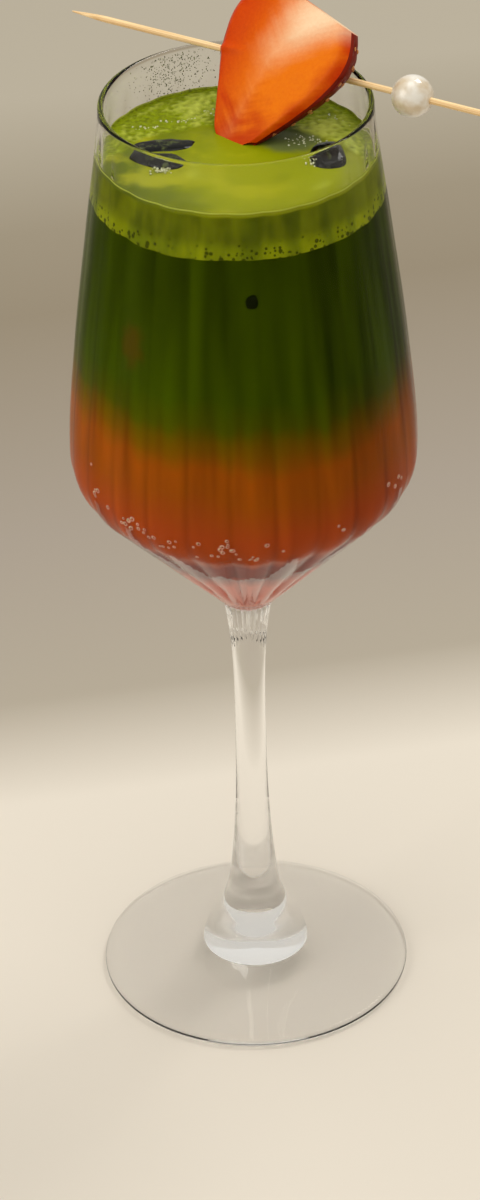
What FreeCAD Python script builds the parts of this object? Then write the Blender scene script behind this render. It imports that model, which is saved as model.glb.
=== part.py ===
"""A stemmed glass of layered matcha tonic with a strawberry half on a pick.

The drink has three layers in the bowl: berry tonic, matcha and foam. A bamboo
pick lies across the rim. It carries half a strawberry, which hangs into the
bowl, and a pearl bead outside it.

Frame: +Z up along the axis of the glass, origin at the centre of the flat
underside of the foot. The strawberry's cut face looks towards -Y and -X.
Sizes are in millimetres and degrees.
"""

import FreeCAD, Part
import math
import os

V = FreeCAD.Vector
upright = V(0, 0, 1)

# Glass: bowl
total_height = 225.0
rim_radius = 29.2
widest_radius = 38.3
bowl_side_height = 84.0        # from the widest ring up to the rim
lower_side_bulge = 0.9         # how far the side stands out of a straight cone
upper_side_bulge = 0.45
side_top_lean = 0.6            # of the side's slope where the rim starts
shoulder_radius = 15.0         # round between the side and the lower cone
cone_half_angle = 43.5         # of the lower cone, from the axis
wall = 1.25
cavity_floor_radius = 17.0     # round at the bottom of the hollow

# Glass: stem
collar_radius = 6.35           # where the cone sits on the stem
collar_height = 3.2
collar_middle_in = 0.3         # middle of the collar's hollow round, of its width
collar_middle_down = 0.4       # and of its height
stem_top_radius = 5.1
stem_waist_radius = 3.55
stem_waist_height = 60.0
stem_root_radius = 5.5
stem_root_height = 24.7
stem_pad = [(11.2, 10.0), (9.4, 13.4), (7.4, 17.3)]  # radius and height, up the swollen base

# Glass: foot
foot_radius = 35.5
foot_edge_thickness = 1.9
foot_crown_radius = 12.2       # where the foot turns up into the stem
foot_crown_height = 6.0
foot_edge_bevel = 0.5

# Drink
headspace = 11.5               # rim down to the top of the foam
foam_depth = 10.0
berry_tonic_depth = 51.5       # from the lowest point of the hollow

# Pick
pick_diameter = 1.5
pick_length = 120.0
pick_yaw = -31.6               # from +X, seen from above
pick_point_length = 9.0
pick_blunt_radius = 0.15
pick_tip_reach = 52.7          # sharp end, from the middle of the chord

# Pearl bead
bead_diameter = 9.2
bead_length = 8.8              # along the pick
bead_reach = 32.2              # centre, from the middle of the chord

# Strawberry half
berry_length = 35.0            # tip to the hull cut, along its middle
berry_half_width = 17.7
berry_depth = 11.0             # from the cut face to the back
berry_tip_half_width = 4.6     # of the blunt tip
berry_tip_roundness = 0.55     # height of that width, as a share of it
berry_side_shares = [(0.6, 0.32), (0.89, 0.54), (1.0, 0.78)]  # out and up the side
berry_hull_half_width = 14.2
berry_hull_height = 0.98       # of the length, where that width is
berry_past_hull = (0.7, 1.1)   # shares of both that shape the end cut away
berry_hull_cut_slant = 5.5
berry_pierce_height = 21.2     # pick above the tip
berry_pierce_depth = 4.3       # pick below the cut face
berry_shift = 1.1              # pierced point, from the middle of the chord
berry_rim_gap = 0.4            # back of the berry to the inside of the rim
berry_face_yaw = 46.0          # cut face turned from -Y towards -X
berry_face_rise = 40.0         # cut face's normal above the horizontal
berry_roll = 4.0               # turned about that normal


# ---------------------------------------------------------------- curves

def point(radius, height):
    """A point of an outline that is turned about Z."""
    return V(radius, 0, height)


def line(start, end):
    return Part.LineSegment(start, end).toShape()


def arc(start, middle, end):
    return Part.Arc(start, middle, end).toShape()


def spline(points, start_tangent, end_tangent):
    """A smooth curve through the points, with its end directions."""
    curve = Part.BSplineCurve()
    curve.interpolate(
        Points=points,
        InitialTangent=start_tangent,
        FinalTangent=end_tangent,
    )
    return curve.toShape()


def turned(edges, axis_point=V(0, 0, 0), axis=V(0, 0, 1)):
    """The solid made by turning a closed outline once about an axis."""
    face = Part.Face(Part.Wire(edges))
    solid = face.revolve(axis_point, axis, 360)
    if solid.Volume < 0:
        solid.reverse()
    return solid


# ---------------------------------------------------------------- glass

def bowl_shape(inset):
    """Sizes of the bowl's outline, moved inwards by inset."""
    angle = math.radians(cone_half_angle)
    round_radius = shoulder_radius - inset
    round_centre = point(
        widest_radius - shoulder_radius, total_height - bowl_side_height
    )
    cone_top = round_centre + V(math.cos(angle), 0, -math.sin(angle)) * round_radius
    round_middle = (
        round_centre
        + V(math.cos(angle / 2), 0, -math.sin(angle / 2)) * round_radius
    )
    widest = round_centre + V(round_radius, 0, 0)
    return cone_top, round_middle, widest


def down_the_cone(cone_top, radius):
    """The point of the cone's line at this radius."""
    drop = (cone_top.x - radius) / math.tan(math.radians(cone_half_angle))
    return point(radius, cone_top.z - drop)


def bowl_side(widest, inset):
    """The long side from the widest ring to where the rim is rounded."""
    top = point(rim_radius - inset, total_height - wall / 2)
    rise = top.z - widest.z

    def on_side(share, bulge):
        radius = widest.x + (top.x - widest.x) * share + bulge
        return point(radius, widest.z + rise * share)

    points = [
        widest,
        on_side(1 / 3, lower_side_bulge),
        on_side(2 / 3, upper_side_bulge),
        top,
    ]
    lean = V((top.x - widest.x) / rise * side_top_lean, 0, 1)
    return spline(points, upright, lean), top


def cavity_floor():
    """Where the hollow's round floor meets its cone, its middle and lowest point."""
    cone_top, _, _ = bowl_shape(wall)
    angle = math.radians(cone_half_angle)
    meet = down_the_cone(cone_top, cavity_floor_radius * math.cos(angle))
    centre = point(0, meet.z + cavity_floor_radius * math.sin(angle))
    half_turn = (math.pi / 2 + angle) / 2
    middle = centre + (
        V(math.cos(half_turn), 0, -math.sin(half_turn)) * cavity_floor_radius
    )
    lowest = centre - V(0, 0, cavity_floor_radius)
    return meet, middle, lowest


def cavity():
    """The hollow of the bowl, closed flat at the top of its side."""
    cone_top, round_middle, widest = bowl_shape(wall)
    meet, floor_middle, lowest = cavity_floor()
    side, top = bowl_side(widest, wall)
    return turned([
        arc(lowest, floor_middle, meet),
        line(meet, cone_top),
        arc(cone_top, round_middle, widest),
        side,
        line(top, point(0, top.z)),
        line(point(0, top.z), lowest),
    ])


def glass():
    """Foot, stem and bowl, all of one piece."""
    cone_top, round_middle, widest = bowl_shape(0)
    inner_cone_top, inner_round_middle, inner_widest = bowl_shape(wall)
    meet, floor_middle, lowest = cavity_floor()
    cone_foot = down_the_cone(cone_top, collar_radius)
    side, outer_top = bowl_side(widest, 0)
    inner_side, inner_top = bowl_side(inner_widest, wall)
    rim_top = point(rim_radius - wall / 2, total_height)

    collar_foot = point(stem_top_radius, cone_foot.z - collar_height)
    collar_middle = point(
        collar_radius - (collar_radius - stem_top_radius) * collar_middle_in,
        cone_foot.z - collar_height * collar_middle_down,
    )
    crown = point(foot_crown_radius, foot_crown_height)
    root = point(stem_root_radius, stem_root_height)
    waist = point(stem_waist_radius, stem_waist_height)
    swollen_base = [point(radius, height) for radius, height in stem_pad]
    leaning_in = V(-0.12, 0, 1)
    leaning_out = V(0.16, 0, 1)
    root_flare = spline([crown] + swollen_base + [root], leaning_in, leaning_in)
    lower_stem = spline([root, waist], leaning_in, upright)
    upper_stem = spline([waist, collar_foot], upright, leaning_out)
    collar = arc(collar_foot, collar_middle, cone_foot)
    edge_round = point(foot_radius, foot_edge_thickness / 2)
    return turned([
        line(point(0, 0), point(foot_radius - foot_edge_bevel, 0)),
        arc(
            point(foot_radius - foot_edge_bevel, 0),
            edge_round,
            point(foot_radius - foot_edge_bevel, foot_edge_thickness),
        ),
        line(point(foot_radius - foot_edge_bevel, foot_edge_thickness), crown),
        root_flare,
        lower_stem,
        upper_stem,
        collar,
        line(cone_foot, cone_top),
        arc(cone_top, round_middle, widest),
        side,
        arc(outer_top, rim_top, inner_top),
        inner_side,
        arc(inner_widest, inner_round_middle, inner_cone_top),
        line(inner_cone_top, meet),
        arc(meet, floor_middle, lowest),
        line(lowest, point(0, 0)),
    ])


# ---------------------------------------------------------------- drink

def layer(bottom, top):
    """What the hollow holds between two heights."""
    size = 2 * widest_radius
    slab = Part.makeBox(size, size, top - bottom, V(-size / 2, -size / 2, bottom))
    return cavity().common(slab).Solids[0]


def drink_layers(strawberry):
    """The three layers, face to face, and cut round the strawberry."""
    floor = cavity_floor()[2].z
    foam_top = total_height - headspace
    heights = [floor, floor + berry_tonic_depth, foam_top - foam_depth, foam_top]
    names = ["berry_tonic", "matcha", "foam"]
    layers = {}
    for name, bottom, top in zip(names, heights, heights[1:]):
        layers[name] = layer(bottom, top).cut(strawberry).Solids[0]
    return layers


# ---------------------------------------------------------------- garnish

def pick_direction():
    yaw = math.radians(pick_yaw)
    return V(math.cos(yaw), math.sin(yaw), 0)


def along_pick(reach):
    """A point of the pick's axis, counted from the middle of its chord."""
    yaw = math.radians(pick_yaw)
    lean = math.cos(math.radians(berry_face_rise))
    lean *= math.cos(math.radians(berry_face_yaw + pick_yaw))
    back_reach = (berry_depth - berry_pierce_depth) / lean
    offset = rim_radius - wall - back_reach - berry_rim_gap
    middle = V(-math.sin(yaw) * offset, math.cos(yaw) * offset, 0)
    height = V(0, 0, total_height + pick_diameter / 2)
    return middle + height + pick_direction() * reach


def pick():
    """A round stick with a sharp end on the left."""
    radius = pick_diameter / 2
    outline = [
        V(0, 0, 0),
        V(0, pick_blunt_radius, 0),
        V(pick_point_length, radius, 0),
        V(pick_length, radius, 0),
        V(pick_length, 0, 0),
    ]
    edges = [line(a, b) for a, b in zip(outline, outline[1:] + outline[:1])]
    stick = turned(edges, V(0, 0, 0), V(1, 0, 0))
    stick.rotate(V(0, 0, 0), V(0, 0, 1), pick_yaw)
    stick.translate(along_pick(-pick_tip_reach))
    return stick


def bore(start, end):
    """The hole that the pick fills between two reaches."""
    first = along_pick(start)
    return Part.makeCylinder(pick_diameter / 2, end - start, first, pick_direction())


def bead():
    """A ball with slightly flattened ends, drilled for the pick."""
    hole_radius = pick_diameter / 2
    left = V(-bead_length / 2, hole_radius, 0)
    right = V(bead_length / 2, hole_radius, 0)
    ball = turned(
        [arc(left, V(0, bead_diameter / 2, 0), right), line(right, left)],
        V(0, 0, 0),
        V(1, 0, 0),
    )
    ball.rotate(V(0, 0, 0), V(0, 0, 1), pick_yaw)
    ball.translate(along_pick(bead_reach))
    return ball


def berry_half_shape():
    """The half with its tip at the origin, hull towards +Y and cut face up."""
    side = [
        V(berry_half_width * out, berry_length * up, 0) for out, up in berry_side_shares
    ]
    hull_edge = V(berry_hull_half_width, berry_length * berry_hull_height, 0)
    past_hull = V(
        berry_hull_half_width * berry_past_hull[0], berry_length * berry_past_hull[1], 0
    )
    blunt_tip = V(berry_tip_half_width, berry_tip_half_width * berry_tip_roundness, 0)
    outline = spline(
        [V(0, 0, 0), blunt_tip] + side + [hull_edge, past_hull],
        V(1, 0.05, 0),
        V(-1, 0.5, 0),
    )
    end = outline.Vertexes[-1].Point
    whole = turned(
        [outline, line(end, V(0, end.y, 0)), line(V(0, end.y, 0), V(0, 0, 0))],
        V(0, 0, 0),
        V(0, 1, 0),
    )
    flatten = FreeCAD.Matrix()
    flatten.scale(1, 1, berry_depth / berry_half_width)
    whole = whole.transformGeometry(flatten)

    size = 4 * berry_length
    below_face = Part.makeBox(size, size, size, V(-size / 2, -size / 2, -size))
    below_hull_cut = Part.makeBox(size, size, size, V(-size / 2, -size, -size / 2))
    below_hull_cut.rotate(V(0, 0, 0), V(0, 0, 1), -berry_hull_cut_slant)
    below_hull_cut.translate(V(0, berry_length, 0))
    return whole.common(below_face).common(below_hull_cut).Solids[0]


def berry_turn():
    """The directions of the half's width, length and face normal."""
    yaw = math.radians(berry_face_yaw)
    rise = math.radians(berry_face_rise)
    roll = math.radians(berry_roll)
    normal = V(
        -math.sin(yaw) * math.cos(rise),
        -math.cos(yaw) * math.cos(rise),
        math.sin(rise),
    )
    steepest = V(0, 0, 1) - normal * normal.z
    steepest.normalize()
    level = steepest.cross(normal)
    length = steepest * math.cos(roll) + level * math.sin(roll)
    width = length.cross(normal)
    return width, length, normal


def strawberry_half():
    """The half in place, drilled for the pick."""
    width, length, normal = berry_turn()
    pierced = along_pick(berry_shift)
    tip = pierced - length * berry_pierce_height + normal * berry_pierce_depth
    place = FreeCAD.Matrix(
        width.x, length.x, normal.x, tip.x,
        width.y, length.y, normal.y, tip.y,
        width.z, length.z, normal.z, tip.z,
        0, 0, 0, 1,
    )
    half = berry_half_shape()
    half.Placement = FreeCAD.Placement(place)
    hole = bore(berry_shift - 2 * berry_half_width, berry_shift + 2 * berry_half_width)
    return half.cut(hole).Solids[0]


# ---------------------------------------------------------------- all pieces

def pieces():
    strawberry = strawberry_half()
    nodes = {"glass": glass()}
    nodes.update(drink_layers(strawberry))
    nodes["pick"] = pick()
    nodes["pearl_bead"] = bead()
    nodes["strawberry_half"] = strawberry
    return nodes


os.makedirs("parts", exist_ok=True)
for name, shape in pieces().items():
    shape.exportStep("parts/" + name + ".step")
    print(name, "volume %.1f mm3" % shape.Volume, "valid", shape.isValid())
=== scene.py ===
"""Looks of a stemmed glass of layered matcha tonic with a strawberry half on a pick.

The ribbed glass, the layered drink, its foam, ice and bubbles, and the garnish are
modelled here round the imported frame. Lengths are in metres. +Z is up along the axis
of the glass, and the origin is at the centre of the flat underside of the foot.
"""

import math
import random

import bmesh
import bpy
from bpy.props import FloatProperty, FloatVectorProperty, IntProperty, PointerProperty
from bpy.types import Operator, Panel, PropertyGroup
from mathutils import Matrix, Vector, noise
from mathutils.geometry import interpolate_bezier
from mathutils.kdtree import KDTree


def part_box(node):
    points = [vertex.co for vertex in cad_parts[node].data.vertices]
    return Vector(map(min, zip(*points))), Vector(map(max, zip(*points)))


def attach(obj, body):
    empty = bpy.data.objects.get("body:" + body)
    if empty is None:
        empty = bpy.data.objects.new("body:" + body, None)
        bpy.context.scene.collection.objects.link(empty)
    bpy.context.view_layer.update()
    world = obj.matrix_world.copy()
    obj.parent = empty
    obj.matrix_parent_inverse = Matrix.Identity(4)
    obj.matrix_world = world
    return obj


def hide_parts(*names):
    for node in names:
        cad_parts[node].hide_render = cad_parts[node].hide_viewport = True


bl_info = {
    "name": "Glass of matcha tonic",
    "version": (1, 0, 0),
    "blender": (4, 5, 0),
    "location": "View3D > Sidebar > Matcha tonic",
    "description": "A ribbed stemmed glass of layered matcha tonic with a strawberry pick",
    "category": "Add Mesh",
}

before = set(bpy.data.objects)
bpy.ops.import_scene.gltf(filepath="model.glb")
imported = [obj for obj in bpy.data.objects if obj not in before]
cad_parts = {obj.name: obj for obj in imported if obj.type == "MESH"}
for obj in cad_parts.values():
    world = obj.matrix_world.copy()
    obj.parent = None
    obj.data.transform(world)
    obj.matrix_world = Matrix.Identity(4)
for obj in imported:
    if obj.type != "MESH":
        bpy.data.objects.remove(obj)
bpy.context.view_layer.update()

MM = 0.001
ORIGIN = Vector((0, 0, 0))
_, glass_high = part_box("glass")
tonic_low, tonic_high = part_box("berry_tonic")
foam_low, foam_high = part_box("foam")
# Middle of the smooth part of the foam; coarse froth lies more than 30 mm from it.
FROTH_CENTRE = (-1 * MM, -19 * MM, foam_high.z)


def linear(hex_colour):
    """An sRGB hex colour such as #c0ffee as linear red, green and blue."""
    channels = (int(hex_colour[i:i + 2], 16) / 255 for i in (1, 3, 5))
    return tuple(c / 12.92 if c <= 0.04045 else ((c + 0.055) / 1.055) ** 2.4 for c in channels)


def opaque(hex_colour):
    return (*linear(hex_colour), 1.0)


# ------------------------------------------------------------------ sizes and colours

def length(name, description, millimetres):
    return FloatProperty(
        name=name, description=description, default=millimetres * MM,
        subtype="DISTANCE", unit="LENGTH", precision=5,
    )


def angle(name, description, degrees):
    return FloatProperty(
        name=name, description=description, default=math.radians(degrees), subtype="ANGLE",
    )


def colour(name, description, hex_colour):
    return FloatVectorProperty(
        name=name, description=description, default=linear(hex_colour),
        subtype="COLOR", size=3, min=0, max=1,
    )


class GlassSizes(PropertyGroup):
    height: length("Height", "From the underside of the foot to the rim", glass_high.z / MM)
    rim_radius: length("Rim radius", "Outside of the rim", 29.2)
    widest_radius: length("Widest radius", "Outside of the bowl at its widest", glass_high.x / MM)
    widest_height: length("Widest height", "Where the bowl is widest", 141.0)
    shoulder_radius: length("Shoulder radius", "Round between the side and the cone", 15.0)
    cone_angle: angle("Cone angle", "Lower cone of the bowl, from the axis", 43.5)
    lower_bulge: length("Lower bulge", "How far the lower side stands out of a cone", 0.9)
    upper_bulge: length("Upper bulge", "How far the upper side stands out of a cone", 0.45)
    wall: length("Wall", "Thickness of the bowl", 1.25)
    floor_radius: length("Floor radius", "Round at the bottom of the hollow", 17.0)
    collar_radius: length("Collar radius", "Where the cone sits on the stem", 6.35)
    collar_height: length("Collar height", "From the stem up to the cone", 3.2)
    stem_top_radius: length("Stem top radius", "Under the collar", 5.1)
    stem_waist_radius: length("Stem waist radius", "Thinnest part of the stem", 3.55)
    stem_waist_height: length("Stem waist height", "Height of the thinnest part", 60.0)
    stem_root_radius: length("Stem root radius", "Where the stem starts to flare", 5.5)
    stem_root_height: length("Stem root height", "Height of the root", 24.7)
    foot_radius: length("Foot radius", "Outside of the foot", 35.5)
    foot_edge: length("Foot edge", "Thickness of the foot at its edge", 1.9)
    foot_crown_radius: length("Crown radius", "Where the foot turns up into the stem", 12.2)
    foot_crown_height: length("Crown height", "Height of the foot there", 6.0)
    foot_hollow: length("Foot hollow", "How far the underside is pushed up in the middle", 0.9)
    ribs: IntProperty(name="Ribs", description="Number of ribs round the bowl", default=24, min=8)
    groove_azimuth: angle("Groove azimuth", "One groove, from -Y towards +X", 10.0)
    inner_rib_depth: length("Inner rib depth", "Depth of the grooves on the inside", 0.5)
    outer_rib_depth: length("Outer rib depth", "Depth of the grooves on the outside", 0.12)
    cone_rib_depth: length("Cone rib depth", "Depth of the outer grooves on the cone", 0.8)
    ribs_start: length("Ribs start", "Height where the ribs fade in", 103.0)
    ribs_end: length("Ribs end", "Height where the ribs have faded out", 222.0)
    petals_start: length("Petals start", "Height where the cone's glossy petals start", 120.0)
    petal_height: length("Petal height", "Height of the tallest petal", 17.0)
    facets_start: length("Facets start", "Height where the collar's facets fade in", 90.5)
    facets_end: length("Facets end", "Height where they have faded out", 102.0)


class DrinkSizes(PropertyGroup):
    wall_reach: length("Wall reach", "How far the drink reaches into the wall", 0.4)
    tonic_top: length("Tonic top", "Where the berry tonic gives way to matcha", tonic_high.z / MM)
    foam_bottom: length("Foam bottom", "Underside of the foam", foam_low.z / MM)
    foam_top: length("Foam top", "Top of the foam", foam_high.z / MM)
    meniscus: length("Meniscus", "How far the foam climbs the glass", 0.6)
    edge_wave: length("Edge wave", "Unevenness of the foam's lower edge", 0.55)


class DrinkColours(PropertyGroup):
    tonic: colour("Tonic", "Berry tonic in the bowl's lower part", "#a24214")
    tonic_deep: colour("Deep tonic", "Berry tonic under the matcha", "#924704")
    # Painted light: the pale thin tonic stands for light coming up through the bottom of the cone.
    tonic_thin_painted_light: colour("Thin tonic", "Thin berry tonic at the bottom of the cone", "#e0643e")
    # Painted reflection: darker tonic in a band where the cone reflects dark surroundings.
    tonic_painted_dark_reflection: colour("Tonic window", "Darker tonic seen through the cone", "#7c2008")
    blend: colour("Blend", "Where the tonic and matcha mix", "#6d4700")
    matcha_low: colour("Lower matcha", "Matcha just above the tonic", "#404500")
    matcha: colour("Matcha", "Matcha in the middle of the bowl", "#334200")
    matcha_top: colour("Upper matcha", "Matcha under the foam", "#2a3700")
    berry_bit: colour("Berry bit", "Bit of berry close under the surface", "#643c0c")
    foam: colour("Foam", "Smooth foam", "#878e06")
    foam_left: colour("Foam, left", "Deeper foam on the left", "#5a6608")
    # Painted sheen: lighter patches on the smooth foam, also mixed into the foam bubbles.
    sheen: colour("Foam sheen", "Wet film on the smooth foam", "#989a10")
    # Partly painted highlight along the meniscus.
    foam_line_highlight: colour("Foam line", "Thin foam drawn up the glass", "#bcc450")
    froth: colour("Froth", "Coarse foam at the back of the glass", "#85940a")
    # Painted shade in the pits of the coarse froth.
    froth_shade: colour("Froth shade", "Pits in the coarse foam", "#646e06")
    foam_side: colour("Foam side", "Foam against the glass", "#6a7203")
    foam_shade: colour("Foam shade", "Denser streaks in that foam", "#4e5802")
    foam_hole: colour("Foam hole", "Open bubbles in that foam", "#262c02")
    ice: colour("Ice", "Wet ice over dark matcha", "#070906")
    ice_film: colour("Ice film", "Ice under a film of foam", "#66703a")
    splash: colour("Splash", "Matcha drying on the glass", "#3e4028")
    # Painted reflection: the pale ring that each gas bubble shows, with deeper patches.
    bubble: colour("Bubble", "Skin of a bubble", "#e8b89c")
    bubble_shade: colour("Bubble shade", "Deeper patches in that skin", "#c87c62")


class GarnishSizes(PropertyGroup):
    pick_radius: length("Pick radius", "Half the thickness of the pick", 0.75)
    pick_length: length("Pick length", "Point to cut end", 120.0)
    pick_yaw: angle("Pick yaw", "Direction of the pick, from +X", -31.6)
    pick_point: length("Pick point", "Length of the tapered point", 9.0)
    pick_reach: length("Point reach", "Sharp end, from the middle of the chord", 52.7)
    bead_reach: length("Bead reach", "Middle of the bead, from the middle of the chord", 32.2)
    bead_radius: length("Bead radius", "Half the width of the bead", 4.6)
    bead_half_length: length("Bead half length", "Half the bead's length along the pick", 4.4)
    berry_length: length("Berry length", "Tip to the hull cut", 35.0)
    berry_half_width: length("Berry half width", "At its widest", 17.7)
    berry_depth: length("Berry depth", "From the cut face to the back", 11.0)
    berry_tip_half_width: length("Tip half width", "Of the blunt tip", 5.8)
    hull_half_width: length("Hull half width", "Where the hull was cut off", 14.2)
    hull_slant: angle("Hull slant", "Slant of the hull cut", 5.5)
    pierce_height: length("Pierce height", "Pick above the berry's tip", 21.2)
    pierce_depth: length("Pierce depth", "Pick below the cut face", 4.3)
    berry_shift: length("Berry shift", "Pierced point, from the middle of the chord", 1.1)
    rim_gap: length("Rim gap", "Back of the berry to the inside of the rim", 0.4)
    face_yaw: angle("Face yaw", "Cut face turned from -Y towards -X", 46.0)
    face_rise: angle("Face rise", "Cut face's normal above the horizontal", 40.0)
    face_roll: angle("Face roll", "Berry turned about that normal", 4.0)
    seed_spacing: length("Seed spacing", "Between the seeds in the skin", 4.0)
    cut_edge: length("Cut edge", "How far the skin rounds over the cut face's edge", 2.2)


class GarnishColours(PropertyGroup):
    flesh: colour("Flesh", "Cut flesh halfway to the skin", "#e87408")
    flesh_left: colour("Flesh, riper side", "The same on the riper side", "#cc4400")
    flesh_edge: colour("Flesh edge", "Cut flesh next to the skin", "#be3000")
    core: colour("Core", "Pale middle of the cut face, near the hull", "#f8d6ae")
    core_low: colour("Lower core", "The same, further down", "#f0a872")
    skin: colour("Skin", "Ripe skin", "#701602")
    skin_dark: colour("Darker skin", "Skin round the tip", "#5a0e02")
    seed: colour("Seed", "Seeds in the skin", "#e09a58")
    bamboo: colour("Bamboo", "Peeled bamboo", "#fbdca6")
    bamboo_fibre: colour("Bamboo fibre", "Darker fibres in the bamboo", "#dcb278")
    pearl: colour("Pearl", "Pearl lacquer", "#e8e2d6")
    pearl_shade: colour("Pearl shade", "Warmer patches of the lacquer", "#ccb898")


# ------------------------------------------------------------------ materials

MATH = "ShaderNodeMath"
VECTOR_MATH = "ShaderNodeVectorMath"
NOISE = "ShaderNodeTexNoise"
RANGE = "ShaderNodeMapRange"
MIX = "ShaderNodeMix"
PRINCIPLED = "ShaderNodeBsdfPrincipled"
OUTPUT = "ShaderNodeOutputMaterial"


def add(owner, kind, inputs=None, stops=None, **settings):
    """Adds a node with its settings.

    Inputs are values, or the nodes or sockets they come from. Stops are the positions and
    colours of a colour ramp.
    """
    tree = owner.node_tree
    made = tree.nodes.new(kind)
    for name, value in settings.items():
        setattr(made, name, value)
    for key, value in (inputs or {}).items():
        if isinstance(value, bpy.types.Node):
            value = next(socket for socket in value.outputs if socket.enabled)
        if isinstance(value, bpy.types.NodeSocket):
            tree.links.new(value, made.inputs[key])
        else:
            made.inputs[key].default_value = value
    if stops:
        elements = made.color_ramp.elements
        while len(elements) < len(stops):
            elements.new(0.5)
        for element, (position, shade) in zip(elements, stops):
            element.position = position
            element.color = (*shade[:3], 1.0)
    return made


def new_material(name):
    """A material with an empty node tree."""
    material = bpy.data.materials.new(name)
    material.use_nodes = True
    material.node_tree.nodes.clear()
    return material


def clear_glass():
    """Soda-lime glass, machine-pressed and fire-polished: clear, with crisp highlights."""
    material = new_material("Clear soda-lime glass, fire-polished")
    coordinates = add(material, "ShaderNodeTexCoord")
    # The mould leaves shallow waves about 11 mm long in the wall.
    waves = add(material, NOISE, {
        "Vector": coordinates.outputs["Object"], "Scale": 1 / (11 * MM), "Detail": 1.0,
    })
    bump = add(material, "ShaderNodeBump", {
        "Height": waves, "Strength": 0.05, "Distance": 0.5 * MM,
    })
    shader = add(material, PRINCIPLED, {
        "Base Color": (1, 1, 1, 1), "Roughness": 0.0, "IOR": 1.5, "Transmission Weight": 1.0,
        "Normal": bump,
    })
    add(material, OUTPUT, {"Surface": shader})
    return material


def thin_glass():
    """The same glass in the thin lip and foot plate: lighter edges, with the same bright gloss."""
    material = new_material("Clear soda-lime glass, thin")
    shader = add(material, PRINCIPLED, {
        "Base Color": (1, 1, 1, 1), "Roughness": 0.0, "IOR": 1.2, "Transmission Weight": 1.0,
        "Specular IOR Level": 1.0,
    })
    add(material, OUTPUT, {"Surface": shader})
    return material


def wet_glass():
    """The same glass where the drink touches it: dark cloudy liquid takes most of its gloss."""
    material = new_material("Clear soda-lime glass, backed by drink")
    shader = add(material, PRINCIPLED, {
        "Base Color": (1, 1, 1, 1), "Roughness": 0.0, "IOR": 1.1, "Transmission Weight": 1.0,
        "Specular IOR Level": 0.0,
    })
    add(material, OUTPUT, {"Surface": shader})
    return material


def millimetres(material):
    """The place of a point, and its X, Y and Z, all in millimetres.

    A noise of scale 1 / n on this place has patches about n millimetres across.
    """
    coordinates = add(material, "ShaderNodeTexCoord")
    place = add(material, VECTOR_MATH, {
        0: coordinates.outputs["Object"], 1: (1 / MM,) * 3,
    }, operation="MULTIPLY")
    parts = add(material, "ShaderNodeSeparateXYZ", {0: place})
    return place, *parts.outputs


def rib_pattern(material, glass, x, y):
    """How far a point lies from the nearest groove: 0 in a groove and 1 between two."""
    back = add(material, MATH, {0: y, 1: -1.0}, operation="MULTIPLY")
    azimuth = add(material, MATH, {0: x, 1: back}, operation="ARCTAN2")
    half = glass.ribs / 2
    half_turns = add(material, MATH, {
        0: azimuth, 1: half, 2: -glass.groove_azimuth * half,
    }, operation="MULTIPLY_ADD")
    wave = add(material, MATH, {0: half_turns}, operation="SINE")
    return add(material, MATH, {0: wave}, operation="ABSOLUTE")


def wall_streaks(material, place, width, tall):
    """Noise in streaks that run up the wall. Width is in radians, tall in millimetres."""
    flat = add(material, VECTOR_MATH, {0: place, 1: (1, 1, 0)}, operation="MULTIPLY")
    around = add(material, VECTOR_MATH, {0: flat}, operation="NORMALIZE")
    height = add(material, VECTOR_MATH, {
        0: place, 1: (0, 0, width / tall),
    }, operation="MULTIPLY")
    streak_place = add(material, VECTOR_MATH, {0: around, 1: height}, operation="ADD")
    return add(material, NOISE, {"Vector": streak_place, "Scale": 1 / width, "Detail": 2.5})


def wall_spot(glass, azimuth, height):
    """A place on the inside of the bowl, in millimetres, from degrees and millimetres."""
    spot = wall_place(glass, math.radians(azimuth), height * MM, glass.wall).translation
    return tuple(spot / MM)


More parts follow.
